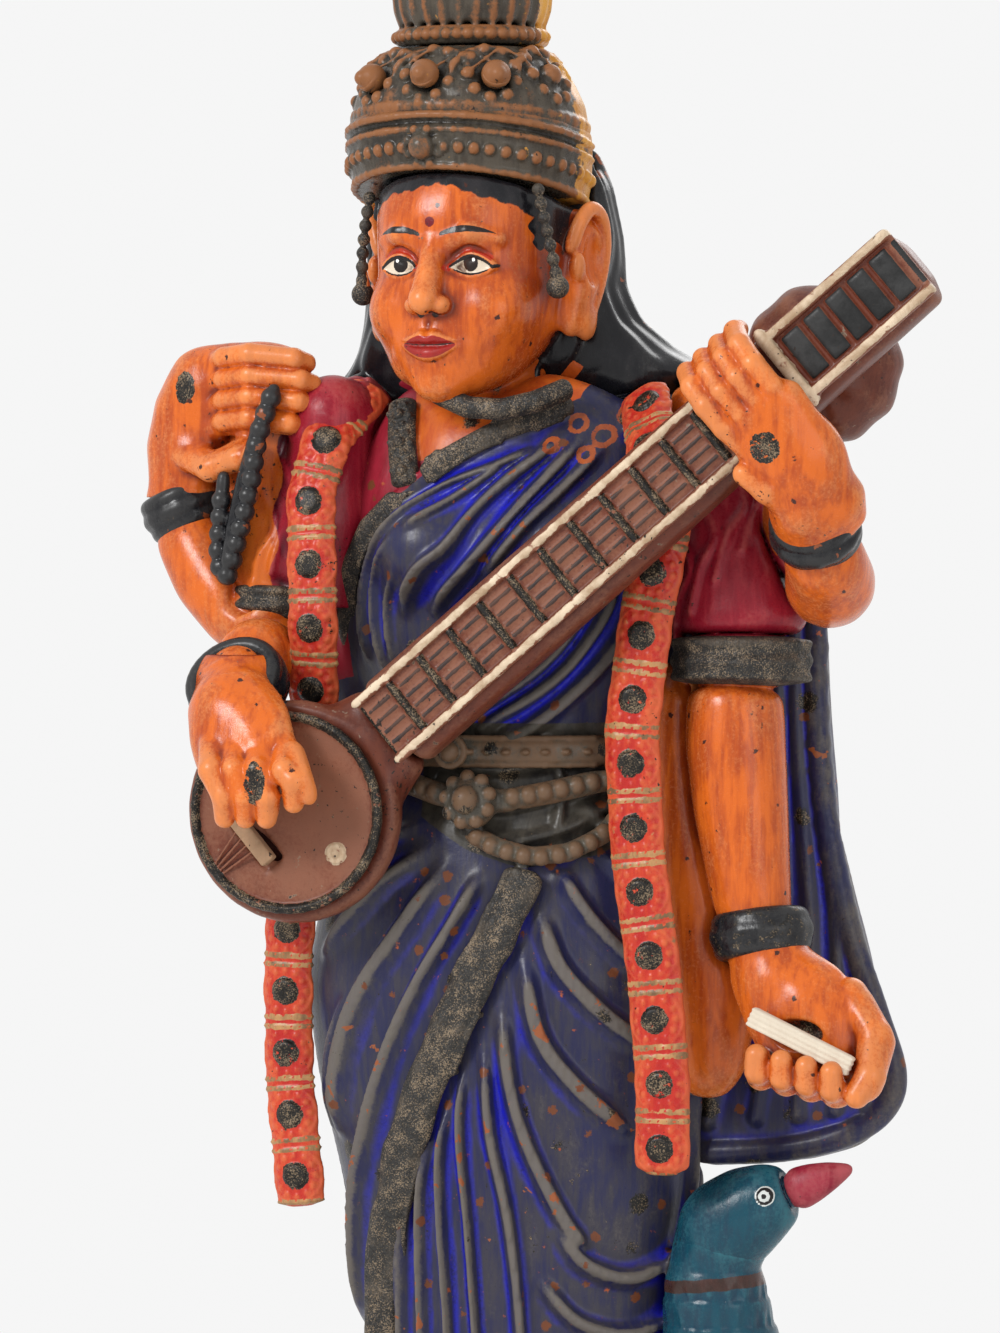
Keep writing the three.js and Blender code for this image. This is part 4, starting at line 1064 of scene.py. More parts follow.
class LuteFrame:
    """The lute's own frame: along its neck, across it, and up out of the soundboard."""

    def __init__(self):
        disc, board = (np.array(node_box(name)) for name in ("veena_soundboard", "veena_fretboard"))
        self.centre = disc.mean(axis=0)
        self.centre[1] = disc[1, 1]
        self.along = board.mean(axis=0) - disc.mean(axis=0)
        self.along[1] = 0.0
        self.along /= np.linalg.norm(self.along)
        self.across, self.up = np.array([-self.along[2], 0, self.along[0]]), np.array([0.0, -1.0, 0.0])

    def at(self, x, y, z):
        return self.centre + self.along * x + self.across * y + self.up * z

    def line(self, *points):
        return [self.at(*p) for p in points]

    def local(self, p):
        gap = p - self.centre
        return gap @ self.along, gap @ self.across, gap @ self.up


FRETS, FRET_PITCH, FIRST_FRET = 11, 13.0, 52.9
RIM, ROSE = 30.6, (4.5, -20.5)     # the soundboard's raised ring, and the small rose low on it
RAIL, GROOVE = 11.1, 8.9           # the neck's edge rails and the grooves beside them, from its middle line


def veena():
    lute = LuteFrame()

    def bowl_face(p):
        x, y, z = lute.local(p)
        r = np.hypot(x, y)
        dot = smooth(np.hypot(x - ROSE[0], y - ROSE[1]), 4.2, 3.4)
        return {"grit": smooth(np.abs(r - RIM), 2.2, 1.5),
                "cream": np.maximum(0.8 * dot, 0.7 * smooth(np.abs(r - RIM - 2.2), 1.2, 0.5))}

    def bowl_detail(clay):
        turn = np.radians(np.arange(0, 361, 8))
        clay.rod([lute.at(RIM * math.cos(a), RIM * math.sin(a), 2.6) for a in turn], 1.3, 0.8)
        for k in range(10):
            a = 2 * math.pi * k / 10
            clay.ball(lute.at(ROSE[0] + 2.6 * math.cos(a), ROSE[1] + 2.6 * math.sin(a), 2.5), 0.9, 0.4)
        clay.ball(lute.at(*ROSE, 2.4), 1.6, 0.4)
        for y in (-3, 0, 3, 6):
            clay.rod(lute.line((-14, y, 5.0), (-30, y * 0.4, 2.7)), 0.5, 0.4)
    plain("veena_soundboard", 0.5, 0.6, 1.5, bowl_face, bowl_detail)
    plain("veena_bowl", 0.8, 2.0, 2.5)
    plain("veena_gourd", 0.8, 1.5, 2.5, detail=lambda clay: [
        ripple(clay, lambda p: 0.5 * np.cos(10 * np.arctan2(lute.local(p)[1], lute.local(p)[0] - 217)))])
    plain("veena_neck", 0.7, 1.2, 2.0)
    plain("veena_bridge", 0.4, 0.5, 1.0, detail=lambda clay: [
        clay.rod(lute.line((-17, y, 7.4), (-10, y, 7.4)), 0.7, 0.3, cut=True) for y in (-6, -2, 2, 6)],
          paint=bridgework)

    def board_face(p):
        x, y, z = lute.local(p)
        phase = (x - FIRST_FRET) / FRET_PITCH
        fret = smooth(np.abs(phase - np.round(phase)) * FRET_PITCH, 1.7, 1.1) * (np.abs(y) < 9.2)
        rail = smooth(np.abs(np.abs(y) - 11.1), 1.9, 0.5)
        dash = (np.abs(phase - np.floor(phase) - 0.5) < 0.34) & (np.abs(y) < 7.4)
        string = smooth(np.abs(((y + 8) / 4.0) % 1.0 - 0.5) * 4.0, 0.85, 0.4) * dash
        return {"grit": fret, "cream": rail, "string": string}

    def board_detail(clay):
        for k in range(FRETS):
            x = FIRST_FRET + k * FRET_PITCH
            clay.rod(lute.line((x, -8.4, 3.2), (x, 8.4, 3.2)), 1.25, 0.6)
        for y in (-6, -2, 2, 6):
            clay.rod(lute.line((41, y, 2.3), (186, y, 2.3)), 0.75, 0.5)
        for side in (-1, 1):
            clay.rod(lute.line((40, side * RAIL, 3.2), (186, side * RAIL, 3.2)), 1.25, 0.7)
            clay.rod(lute.line((40, side * GROOVE, 3.0), (186, side * GROOVE, 3.0)), 0.55, 0.4, cut=True)
    plain("veena_fretboard", 0.5, 0.6, 1.2, board_face, board_detail)

    def head_face(p):
        x, y, z = lute.local(p)
        rail = smooth(np.abs(np.abs(y) - 11.2), 1.6, 1.0) * (x > 213)
        nut = smooth(np.abs(x - 215), 2.6, 1.9)
        phase = (x - 222.5) / 9.0
        tile = smooth(np.abs(y), 8.6, 7.6) * smooth(np.abs(phase - np.round(phase)) * 9.0, 3.7, 3.0)
        return {"cream": np.maximum(rail, nut), "tile": tile * (x > 218) * (z > 2.0)}

    def head_detail(clay):
        for side in (-1, 1):
            clay.rod(lute.line((217, side * RAIL, 3.6), (264, side * RAIL, 3.6)), 1.7, 0.6)
            clay.rod(lute.line((219, side * GROOVE, 3.2), (263, side * GROOVE, 3.2)), 0.5, 0.4, cut=True)
        clay.rod(lute.line((215, -13.4, 4.6), (215, 13.4, 4.6)), 1.8, 0.8)
        for k in range(6):
            x = 218 + 9 * k
            clay.rod(lute.line((x, -8, 3.0), (x, 8, 3.0)), 0.6, 0.5, cut=True)
    plain("veena_headstock", 0.5, 0.7, 1.5, head_face, head_detail)


def hands():
    lute = LuteFrame()

    def neck_hand(clay):
        clay.ball(lute.at(200, -24, 7), (15, 15, 9), 5.0, turn=(lute.along, lute.across, lute.up))
        for x in (191, 197.6, 204.2, 210.6):
            finger = lute.line(
                (x, -14, 15), (x, -4, 18.2), (x, 5, 18.8), (x, 13, 15.5), (x, 18.6, 8), (x, 19.5, 1))
            clay.rod(finger, [2.6, 3.5, 3.7, 3.6, 3.4, 3.0], 0.7)
        clay.rod(lute.line((190, -36, 6), (188, -26, 13), (186, -18, 14.5)), [4.6, 4.2, 3.6], 1.5)
        clay.rod([(112, -62, 404), (113, -52, 396)], [11.5, 12.5], 4.0)

    def henna(p):
        x, y, _ = lute.local(p)
        return {"grit": smooth(np.hypot(x - 197, y + 17), 5.6, 4.4)}
    plain("hand_on_neck", 0.55, 1.6, 2.0, henna, neck_hand)

    def raised(clay):
        clay.ball((-103, -15, 436), (12.5, 8.5, 20), 5.0)
        clay.rod([(-108, -13, 424), (-112, -12, 402)], [11.0, 11.2], 5.0)
        clay.ball((-84, -16, 449), (18, 9, 9), 5.0)
        for k, tip in enumerate((-64, -62, -63, -66)):
            z = 453 - 6.8 * k
            clay.rod([(-99, -20, z - 2), (-92, -26, z - 0.5), (-82, -29, z + 0.5), (tip - 3, -28.5, z - 1),
                      (tip, -25, z - 2)], [2.6, 3.5, 3.7, 3.5, 2.9], 0.6)
        clay.rod([(-108, -22, 421), (-96, -28, 417), (-86, -30, 420), (-80, -30, 423)],
                 [4.0, 4.4, 4.0, 3.4], 1.2)
    plain("hand_mala", 0.55, 1.6, 2.5,
          lambda p: {"grit": smooth(np.hypot(p[:, 0] + 106, (p[:, 2] - 443) * 0.7), 4.2, 3.2)}, raised)

    def plucking(clay):
        clay.ball((-70, -70, 332), (15, 8.5, 15), 4.0)
        clay.rod([(-76, -64, 340), (-77, -50, 350)], [12.0, 12.6], 4.0)
        low, high = node_box("bangle_front_right")
        clay.ball((low + high) / 2, (high - low) / 2 - 2.0, 3.0)
        for k, (start, tip) in enumerate([(-78, -71), (-70, -64), (-62, -57), (-53, -48)]):
            drop = 5 if k == 3 else 0
            clay.rod([(start, -76, 330), ((start + tip) / 2, -83.5, 322), (tip + 1, -84.5, 314 + drop),
                      (tip, -82, 307 + drop)], [3.6, 4.5, 4.2, 3.3], 0.7)
    plain("hand_strumming", 0.55, 1.6, 2.5, lambda p: {
        "grit": smooth(np.hypot(p[:, 0] + 59, (p[:, 2] - 318) * 0.5), 4.0, 3.0) * (p[:, 1] < -80)}, plucking)

    def holding(clay):
        clay.ball((103, -30, 245), (18, 8, 13), 4.0)
        clay.rod([(92, -25, 256), (87, -22, 270)], [12.0, 11.5], 4.0)
        clay.ball((103, -39, 240), (8.5, 4.0, 4.5), 1.8, cut=True)
        for k, x in enumerate((92, 100, 108, 116)):
            z = 228 - 1.6 * k
            clay.rod([(x, -31, z + 6), (x, -40, z - 1), (x + 0.5, -46, z + 1), (x + 0.5, -47.5, z + 6)],
                     [4.4, 4.6, 4.2, 3.6], 0.6)
        clay.rod([(118, -30, 252), (127, -35, 240), (127.5, -42, 228), (124, -45, 222)],
                 [5.6, 5.4, 4.8, 4.0], 1.0)
    plain("hand_scroll", 0.55, 1.6, 2.5, lambda p: {
        "grit": smooth(np.hypot(p[:, 0] - 104, (p[:, 2] - 240) * 1.6), 8.0, 6.4) * (p[:, 1] < -32)}, holding)
    slope = math.tan(math.radians(25))                                # of the leaves' edges
    plain("palm_leaf_book", 0.4, 0.6, 1.0, detail=lambda clay: ripple(
        clay, lambda p: 0.22 * np.sin((p[:, 2] + p[:, 0] * slope) * 3.4)))
    clay = Clay(["mala_string"], 0.5, 0.8, margin=10.0)
    strand = curve([(-72, -34, 442), (-77, -35, 427), (-80, -35, 410), (-84, -34, 396), (-89, -32, 382),
                    (-92, -31, 388), (-91, -32, 402), (-90, -32, 414)])
    line = Spine(strand)
    ripple(clay, lambda p: np.full(len(p), -1.2))
    clay.rod(strand, 2.0, 1.0)
    for k in range(int(line.length / 5.4)):
        clay.ball(line.at((k + 0.5) * 5.4), 3.4, 0.4)
    make_piece("mala_string", clay)


def rosettes():
    """The two flower garlands: a crusted heart in rings of petals, then a double band, again and again."""
    for name in ("garland_right", "garland_left"):
        clay = Clay([name], 0.55, 0.9)
        line = Spine(clay.centre_line((0, 0, -1), 5.0), ends=4.0)
        relief = Relief(line.place, (0, line.length), (-14, 14), 0.3)
        count = round(line.length / 20.5)
        pitch = line.length / count
        for k in range(count):
            u = (k + 0.5) * pitch
            relief.dot((u, 0), 4.6, 1.4, "rosette", shape="flat")
            for turn in np.radians(np.arange(0, 360, 30)):
                relief.dot((u + 6.6 * math.cos(turn), 6.6 * math.sin(turn)), 2.0, 0.8, shape="soft")
            relief.ring((u, 0), 8.6, 0.8, 0.45, shape="soft")
            relief.dot((u, 0), 9.6, 0.5, shape="soft")
            for step in (-1.5, 1.5):
                across = [(u + pitch / 2 + step, -8.5), (u + pitch / 2 + step, 8.5)]
                relief.line(across, 0.9, 0.55, "band", shape="soft")
        clay.press(relief)

        def masks(p):
            u, v, _ = line.place(p)
            ragged = 0.5 + 0.5 * np.sin(u * 1.9) * np.sin(v * 2.3)
            return {"rosette": relief.read("rosette", u, v),
                    "band": relief.read("band", u, v) * (ragged > 0.12)}
        make_piece(name, clay, masks)


def trims():
    """The necklace, the gritty sari borders and the belts."""
    def cords(clay, flat, half, radius=0.9):
        line = Spine(front_line(clay, flat))
        for side in (-half, half):
            count = max(8, int(line.length / 4))
            edge = [line.at(u, side) for u in np.linspace(0.5, line.length - 0.5, count)]
            clay.rod(onto(clay, edge, back=12.0), radius, 0.6)

    def necklace(clay):
        strand = front_line(clay, [(-21, 445), (-13, 439), (0, 435), (14, 437), (24, 442)])
        beads(clay, strand, 1.1, 3.4, sink=0.6)
    plain("choker", 0.45, 0.8, 1.0, detail=necklace)

    def pendant(clay):
        for x, z in ((-33, 434), (-31, 425), (-29, 416)):
            at = on_front(clay, x, z)
            clay.ball(at, 2.0, 0.5)
            for a in np.radians(np.arange(0, 360, 60)):
                clay.ball(onto(clay, [at + (3.6 * math.cos(a), 0, 3.6 * math.sin(a))], back=12)[0], 1.1, 0.4)
    plain("pendant", 0.45, 0.8, 1.0, detail=pendant)
    plain("saree_border_chest", 0.5, 0.9, 1.5, detail=lambda clay: cords(clay, CHEST_BORDER, 3.3))

    def skirt(clay):
        edge = [(15, 287), (5, 266), (-8, 243), (-21, 214), (-33, 181), (-38, 140), (-40, 95), (-41, 48)]
        cords(clay, edge, 6.6, 1.0)
        ripple(clay, lambda p: 0.4 * np.sin(p[:, 2] * 0.19 + np.sin(p[:, 2] * 0.07)) * np.sin(p[:, 0] * 0.3))
    plain("saree_border_skirt", 0.6, 1.0, 1.5, detail=skirt)

    def waist(clay):
        for z in (331.2, 322.8):
            clay.rod(front_line(clay, [(-31, z), (0, z), (40, z)]), 1.0, 0.6)
        for x in range(-4, 40, 6):
            clay.ball(on_front(clay, x, 327), (1.7, 1.4, 1.0), 0.5)
        for x in range(-28, -16, 6):
            clay.ball(on_front(clay, x, 327), 1.2, 0.5)
        buckle = on_front(clay, -10, 327)
        clay.ball(buckle + (0, 0.8, 0), 3.4, 0.4)
        rim = [buckle + (4.6 * math.cos(a), 1.4, 4.6 * math.sin(a)) for a in np.radians(FULL_TURN)]
        clay.rod(rim, 1.1, 0.4)
    plain("waist_belt", 0.45, 0.9, 1.5, detail=waist, paint=beltwork)

    def hip(clay):
        beads(clay, front_line(clay, [(8, 312.5), (16, 313.5), (32, 317), (42, 319)]), 3.0, 5.0)
        beads(clay, front_line(clay, [(-28, 317), (-14, 313.5)]), 2.6, 4.6)
        knot = on_front(clay, -3, 312)
        clay.ball(knot + (0, 1.5, 0), 4.6, 0.5)
        for a in np.radians(np.arange(15, 375, 40)):
            petal = onto(clay, [knot + (7.2 * math.cos(a), 0, 7.2 * math.sin(a))], back=14)[0]
            clay.ball(petal + (0, 0.6, 0), 2.4, 0.5)
    plain("hip_belt", 0.45, 0.9, 1.5, detail=hip, paint=beltwork)

    def swag(clay):
        beads(clay, front_line(clay, [(-3, 301), (8, 296), (22, 294), (35, 299), (41, 307)]), 2.8, 5.4)
    plain("belt_swag", 0.45, 0.9, 1.5, detail=swag, paint=beltwork)
    for side, name in ((-1, "ear_chain_right"), (1, "ear_chain_left")):
        clay = Clay([name], 0.45, 0.8)
        line = Spine(clay.centre_line((0, 0, -1), 3.0), (side, 0, 0))
        ripple(clay, lambda p: np.full(len(p), -1.5))
        count = int(line.length / 4.2)
        for k in range(count):
            clay.ball(line.at((k + 0.5) * line.length / count), 2.1 + 1.6 * (k == count - 1), 0.5)
        make_piece(name, clay)


def head():
    clay = Clay(["head"], 0.45, 2.0)
    at = HEAD.at
    inward = -HEAD.front

    def skin_at(x, z):
        return onto(clay, [at(x, 20.0, z)], inward, 40.0)[0]

    def laid(points, n=4, s=1):
        """A smooth line through x, z points of the head's own frame, laid on the skin."""
        return np.array([skin_at(s * x, z) for x, z in curve(points, n)])

    clay.ball(at(0, 29.0, -24), (13, 9.5, 10), 5.0)                   # the mound of the mouth
    clay.ball(at(0, 29.5, -37), (8, 7, 6.5), 4.0)                     # chin
    clay.ball(at(0, 20.5, 14), (22, 15.5, 14), 6.0)                   # forehead
    for s in (-1, 1):
        clay.ball(at(s * 16.5, 22.5, -14), (10.5, 12, 11), 5.0)       # cheek
        clay.ball(at(s * 12.8, 38.5, 0.4), (8.8, 7.4, 5.8), 2.6, cut=True)
        clay.ball(at(s * 12.4, 25.0, -0.2), 8.3, 0.6)                 # eye
        clay.rod([at(s * 5, 35.0, 8.0), at(s * 12, 34.4, 10.2), at(s * 20, 29.0, 8.2)], [1.6, 2.2, 1.2], 3.0)
    clay.rod([at(0, 34.8, 7), at(0, 38.0, -3), at(0, 41.5, -10)], [2.6, 3.0, 3.6], 2.6)
    clay.ball(at(0, 42.4, -11.6), 4.5, 1.4)
    for s in (-1, 1):
        clay.ball(at(s * 4.7, 39.0, -12.8), (3.0, 3.8, 2.9), 1.3)
        clay.ball(at(s * 2.5, 42.6, -16.0), (1.2, 2.0, 1.5), 0.6, cut=True)
        upper_lid = laid([(6.0, -0.9), (8.6, 1.7), (12.2, 3.2), (16.2, 2.2), (19.4, -0.6)], s=s)
        clay.rod(upper_lid + HEAD.front * 0.2, 1.05, 0.7)
        clay.rod(laid([(6.2, -1.2), (9, -3.1), (12.6, -3.9), (16.4, -2.9), (19.0, -0.9)], s=s), 0.7, 0.8)
        clay.rod(laid([(7, 3.0), (12.2, 5.6), (18.5, 3.2)], s=s) + HEAD.front * 0.3, 0.5, 0.9, cut=True)
    upper = laid([(-9.6, -24.6), (-5, -23.4), (-2, -22.6), (0, -23.1), (2, -22.6), (5, -23.4),
                  (9.6, -24.6)], 3)
    radii = np.interp(np.linspace(-1, 1, len(upper)), [-1, -0.4, 0, 0.4, 1], [0.7, 1.7, 1.8, 1.7, 0.7])
    clay.rod(upper - HEAD.front * 0.4, radii, 0.8)
    lower = laid([(-8.4, -25.6), (-4, -27.6), (0, -28.2), (4, -27.6), (8.4, -25.6)])
    radii = np.interp(np.linspace(-1, 1, len(lower)), [-1, 0, 1], [0.8, 2.2, 0.8])
    clay.rod(lower - HEAD.front * 0.5, radii, 0.9)
    parting = laid([(-10.4, -24.6), (-5, -25.4), (0, -25.5), (5, -25.4), (10.4, -24.6)])
    clay.rod(parting + HEAD.front * 0.2, 0.55, 0.5, cut=True)
    clay.rod([skin_at(0, -18.5) + HEAD.front * 0.7, skin_at(0, -21.5) + HEAD.front * 0.7], 1.1, 1.2, cut=True)
    for s in (-1, 1):                                                 # ears
        clay.ball(at(s * 41.5, -2.5, 3.0), (5.6, 5.6, 10.0), 1.6, cut=True)
        rim = curve([(34, 4, 6), (36.4, 2.5, 14), (38, -2.5, 18.5), (38.8, -8.5, 15.5), (38.8, -10.8, 7),
                     (38, -9.4, -3), (36.8, -6, -12), (35.4, -2.5, -19)], 4)
        clay.rod([at(s * x, f, z) for x, f, z in rim], 2.1, 1.2)
        clay.ball(at(s * 36, -2.6, -17.5), (3.4, 4.8, 6.0), 1.6)
        clay.ball(at(s * 36.2, 3.4, 0.0), (2.2, 2.4, 4.4), 1.4)
    clay.settle(1.5)

    def masks(p):
        x, f, z = HEAD.local(p)
        a = np.abs(x)
        face = smooth(f, 10.0, 16.0)
        span = (a - 12.6) / 6.6
        bow = np.clip(1 - span ** 2, 0, 1)
        top, bottom = -0.8 + 3.3 * bow + 0.3 * np.clip(a - 19.2, 0, 9), -0.9 - 2.2 * bow
        open_eye = smooth(np.minimum(top - z, z - bottom), -0.1, 0.5)
        open_eye = open_eye * smooth(1 - np.abs(span), 0.0, 0.08) * face
        iris = smooth(np.hypot(a - 12.3, z - 0.3), 2.75, 2.3) * open_eye
        lash = smooth(np.abs(z - top), 0.85, 0.4) * smooth(np.abs(a - 13.2), 7.6, 7.0) * face
        under = smooth(np.abs(z - bottom), 0.5, 0.2) * smooth(1 - np.abs(span), 0.0, 0.3) * face * 0.8
        brow_line = 8.6 + 2.6 * np.clip(1 - ((a - 12.0) / 10.5) ** 2, -1, 1)
        brow = smooth(np.abs(z - brow_line) + 0.011 * (a - 10.5) ** 2, 1.35, 0.8)
        brow = brow * smooth(np.abs(a - 12.8), 9.8, 9.0) * face
        flush = np.maximum(smooth(np.abs(z - top - 2.2), 1.5, 0.3) * smooth(np.abs(span), 1.15, 0.8),
                           smooth(np.hypot(a - 5.4, z + 0.9), 1.8, 0.9)) * face
        mouth = smooth(a, 9.6, 8.4)
        lip_top, lip_low = -22.2 - 0.036 * a ** 2 - 0.5 * np.exp(-(x / 1.6) ** 2), -29.6 + 0.048 * a ** 2
        lips = smooth(np.minimum(lip_top - z, z - lip_low), -0.3, 0.4) * mouth * face
        parting = smooth(np.abs(z + 25.4 - 0.008 * a ** 2), 0.45, 0.15) * mouth * face * 0.7
        nostril = smooth(np.hypot(a - 2.5, (z + 15.8) * 1.1), 1.5, 0.9) * face * 0.8
        edge = 25.0 - 0.013 * x ** 2 + 0.7 * np.sin(x * 0.31 + 0.6) + 0.4 * np.sin(x * 1.13)
        temple = np.minimum(a - 27.0 - 0.6 * np.sin(z * 0.9), z - 6.0 - 1.5 * np.sin(a * 1.7))
        hair = np.maximum(smooth(z - edge, -1.8, 1.8), smooth(temple, -0.4, 0.6))
        hair *= 1.0 - smooth(a, 32.0, 33.0) * smooth(z, 22.0, 20.0)
        return {"white": open_eye, "iris": iris,
                "ink": np.maximum.reduce([lash, under, brow, parting, nostril]), "flush": flush, "lips": lips,
                "bindi": smooth(np.hypot(x, z - 13.5), 1.9, 1.4) * face, "hair": hair,
                # A white spot on each iris: a painted highlight.
                "spark": smooth(np.hypot(a - 13.3, z - 1.5), 0.75, 0.4) * face}
    make_piece("head", clay, masks, relax=1)
    plain("neck", 0.7, 2.2, 3.0, detail=lambda clay: ripple(
        clay, lambda p: -0.5 * np.exp(-((p[:, 2] - 447) / 1.2) ** 2)))


def hair():
    def strands(clay):
        def height(p):
            angle = np.arctan2(p[:, 0] + 12, 8 - p[:, 1])
            flow = angle * 19 + 1.6 * np.sin(p[:, 2] / 17.0) + 0.8 * np.sin(p[:, 2] / 6.0 + angle * 3)
            return 0.55 * np.sin(flow) + 0.25 * np.sin(flow * 2.3 + 1.0)
        ripple(clay, height)
    plain("hair", 0.75, 1.8, 3.0, detail=strands)


BOSS_HEIGHT = 541.5            # of the crown's medallions
CAST_BACK = 70.0               # cords and beads are cast onto the crown from this far outside its axis
AROUND = np.radians(np.arange(-104, 105, 6))


def crown():
    def gilt(p):
        """The plain ochre paint that covers the back of the crown and laps round its sides."""
        x, forward = CROWN.local(p)[:2]
        return smooth(np.degrees(np.arctan2(np.abs(x), forward)), 78.0, 90.0)

    def worked(p):
        return {"ochre": gilt(p)}

    def outward(a):
        return CROWN.at(math.sin(a), math.cos(a), 0) - CROWN.centre

    def on_crown(clay, a, z):
        return onto(clay, [CROWN.at(0, 0, z)], -outward(a), CAST_BACK)[0]

    def ringed(clay, z, lift, radius, pitch):
        """A row of beads round the crown; the row is lifted in front."""
        low, high = -100, 100
        count = round(math.radians(high - low) * 38 / pitch)
        for k in range(count + 1):
            a = math.radians(low + (high - low) * k / count)
            clay.ball(on_crown(clay, a, z + lift * math.cos(a)) - outward(a) * radius * 0.2, radius, 0.5)

    def cord(clay, z, lift, radius, cut=False):
        clay.rod([on_crown(clay, a, z + lift * math.cos(a)) for a in AROUND], radius, 0.6, cut)

    def jewel(clay, degrees, z, radius, petals, petal, spread):
        a = math.radians(degrees)
        out = outward(a)
        along = np.cross((0, 0, 1), out)
        middle = on_crown(clay, a, z)
        clay.ball(middle, radius, 0.6)
        for k in range(petals):
            t = 2 * math.pi * (k + 0.5) / petals
            off = along * spread * math.cos(t)
            point = onto(clay, [middle + off + np.array([0, 0, spread * math.sin(t)])], -out, 16.0)[0]
            clay.ball(point - out * petal * 0.2, petal, 0.5)

    def band(clay):
        for z, radius in ((503.5, 1.3), (516.5, 1.0), (521.0, 1.2)):
            cord(clay, z, 9.0 if z < 510 else 7.5, radius)
        ringed(clay, 510.2, 8.4, 2.3, 5.0)
        cord(clay, 518.8, 7.5, 0.7, cut=True)
        jewel(clay, 0, 518.5, 4.4, 8, 1.6, 5.6)

    def band_paint(p):
        bottom = 503.5 + 9.0 * np.cos(np.arctan2(*CROWN.local(p)[:2]))
        return {"ochre": gilt(p), "hair": smooth(p[:, 2] - bottom, -1.4, -2.2) * (1 - gilt(p))}
    plain("crown_band", 0.5, 1.2, 1.5, band_paint, band)

    def dome(clay):
        for degrees in (-72, -36, 0, 36, 72):
            z = BOSS_HEIGHT
            out = outward(math.radians(degrees))
            along = np.cross((0, 0, 1), out)
            arch = []
            for t in np.radians(np.arange(0, 181, 15)):
                point = CROWN.at(0, 0, z) + along * 12.6 * math.cos(t) + np.array([0, 0, 8.4 * math.sin(t)])
                arch.append(onto(clay, [point], -out, CAST_BACK)[0])
            clay.rod(arch, 1.0, 0.9)
            jewel(clay, degrees, z, 3.8 if abs(degrees) > 40 else 2.0, 9, 2.3, 7.9)
        for k in range(10):
            for turn in (-1, 1):                   # a lattice of fine cords above the arches
                a, b = (math.radians(-99 + 22 * k + turn * step) for step in (-8, 8))
                lattice = [(a, 543.0), ((a + b) / 2, 546.5), (b, 549.6)]
                clay.rod([on_crown(clay, t, height) for t, height in lattice], 0.55, 0.6)
        cord(clay, 527.4, 5.0, 1.0)
        rim = [CROWN.at(37.2 * math.sin(a), 35.6 * math.cos(a), 526.4 + 5 * math.cos(a)) for a in AROUND]
        clay.rod(rim, 2.2, 1.0)
    plain("crown_dome", 0.5, 1.2, 1.5, worked, dome)
    for k in (1, 2, 3):
        clay = Clay([f"crown_medallion_{k}"], 0.45, bare=True)
        middle = np.mean(node_box(clay.names[0]), axis=0)
        inward = CROWN.centre - middle
        inward[2] = 0.0
        inward /= np.linalg.norm(inward)
        clay.ball(middle + inward * 0.8, 4.7, 0.4)
        clay.ball(middle - inward * 2.6, 2.6, 0.6)
        clay.settle(1.2)
        make_piece(clay.names[0], clay)
    plain("crown_ring", 0.5, 0.9, 1.0, worked, lambda clay: ringed(clay, 555.0, 0, 1.9, 5.8))

    def fluted(count):
        return lambda p: 0.4 * np.cos(count * np.arctan2(*CROWN.local(p)[:2]))
    plain("crown_knob", 0.6, 1.0, 1.5, worked, lambda clay: ripple(clay, fluted(26)))
    plain("crown_finial", 0.6, 1.0, 1.5, worked, lambda clay: ripple(
        clay, lambda p: fluted(16)(p) + 0.4 * np.cos(p[:, 2] * 1.6)))
    plain("crown_back", 0.7, 1.8, 2.0, detail=lambda clay: ripple(clay, lambda p: (
        0.35 * np.sin(p[:, 2] * 0.35 + np.sin(p[:, 0] * 0.12)) + 0.2 * np.sin(p[:, 0] * 0.5))))


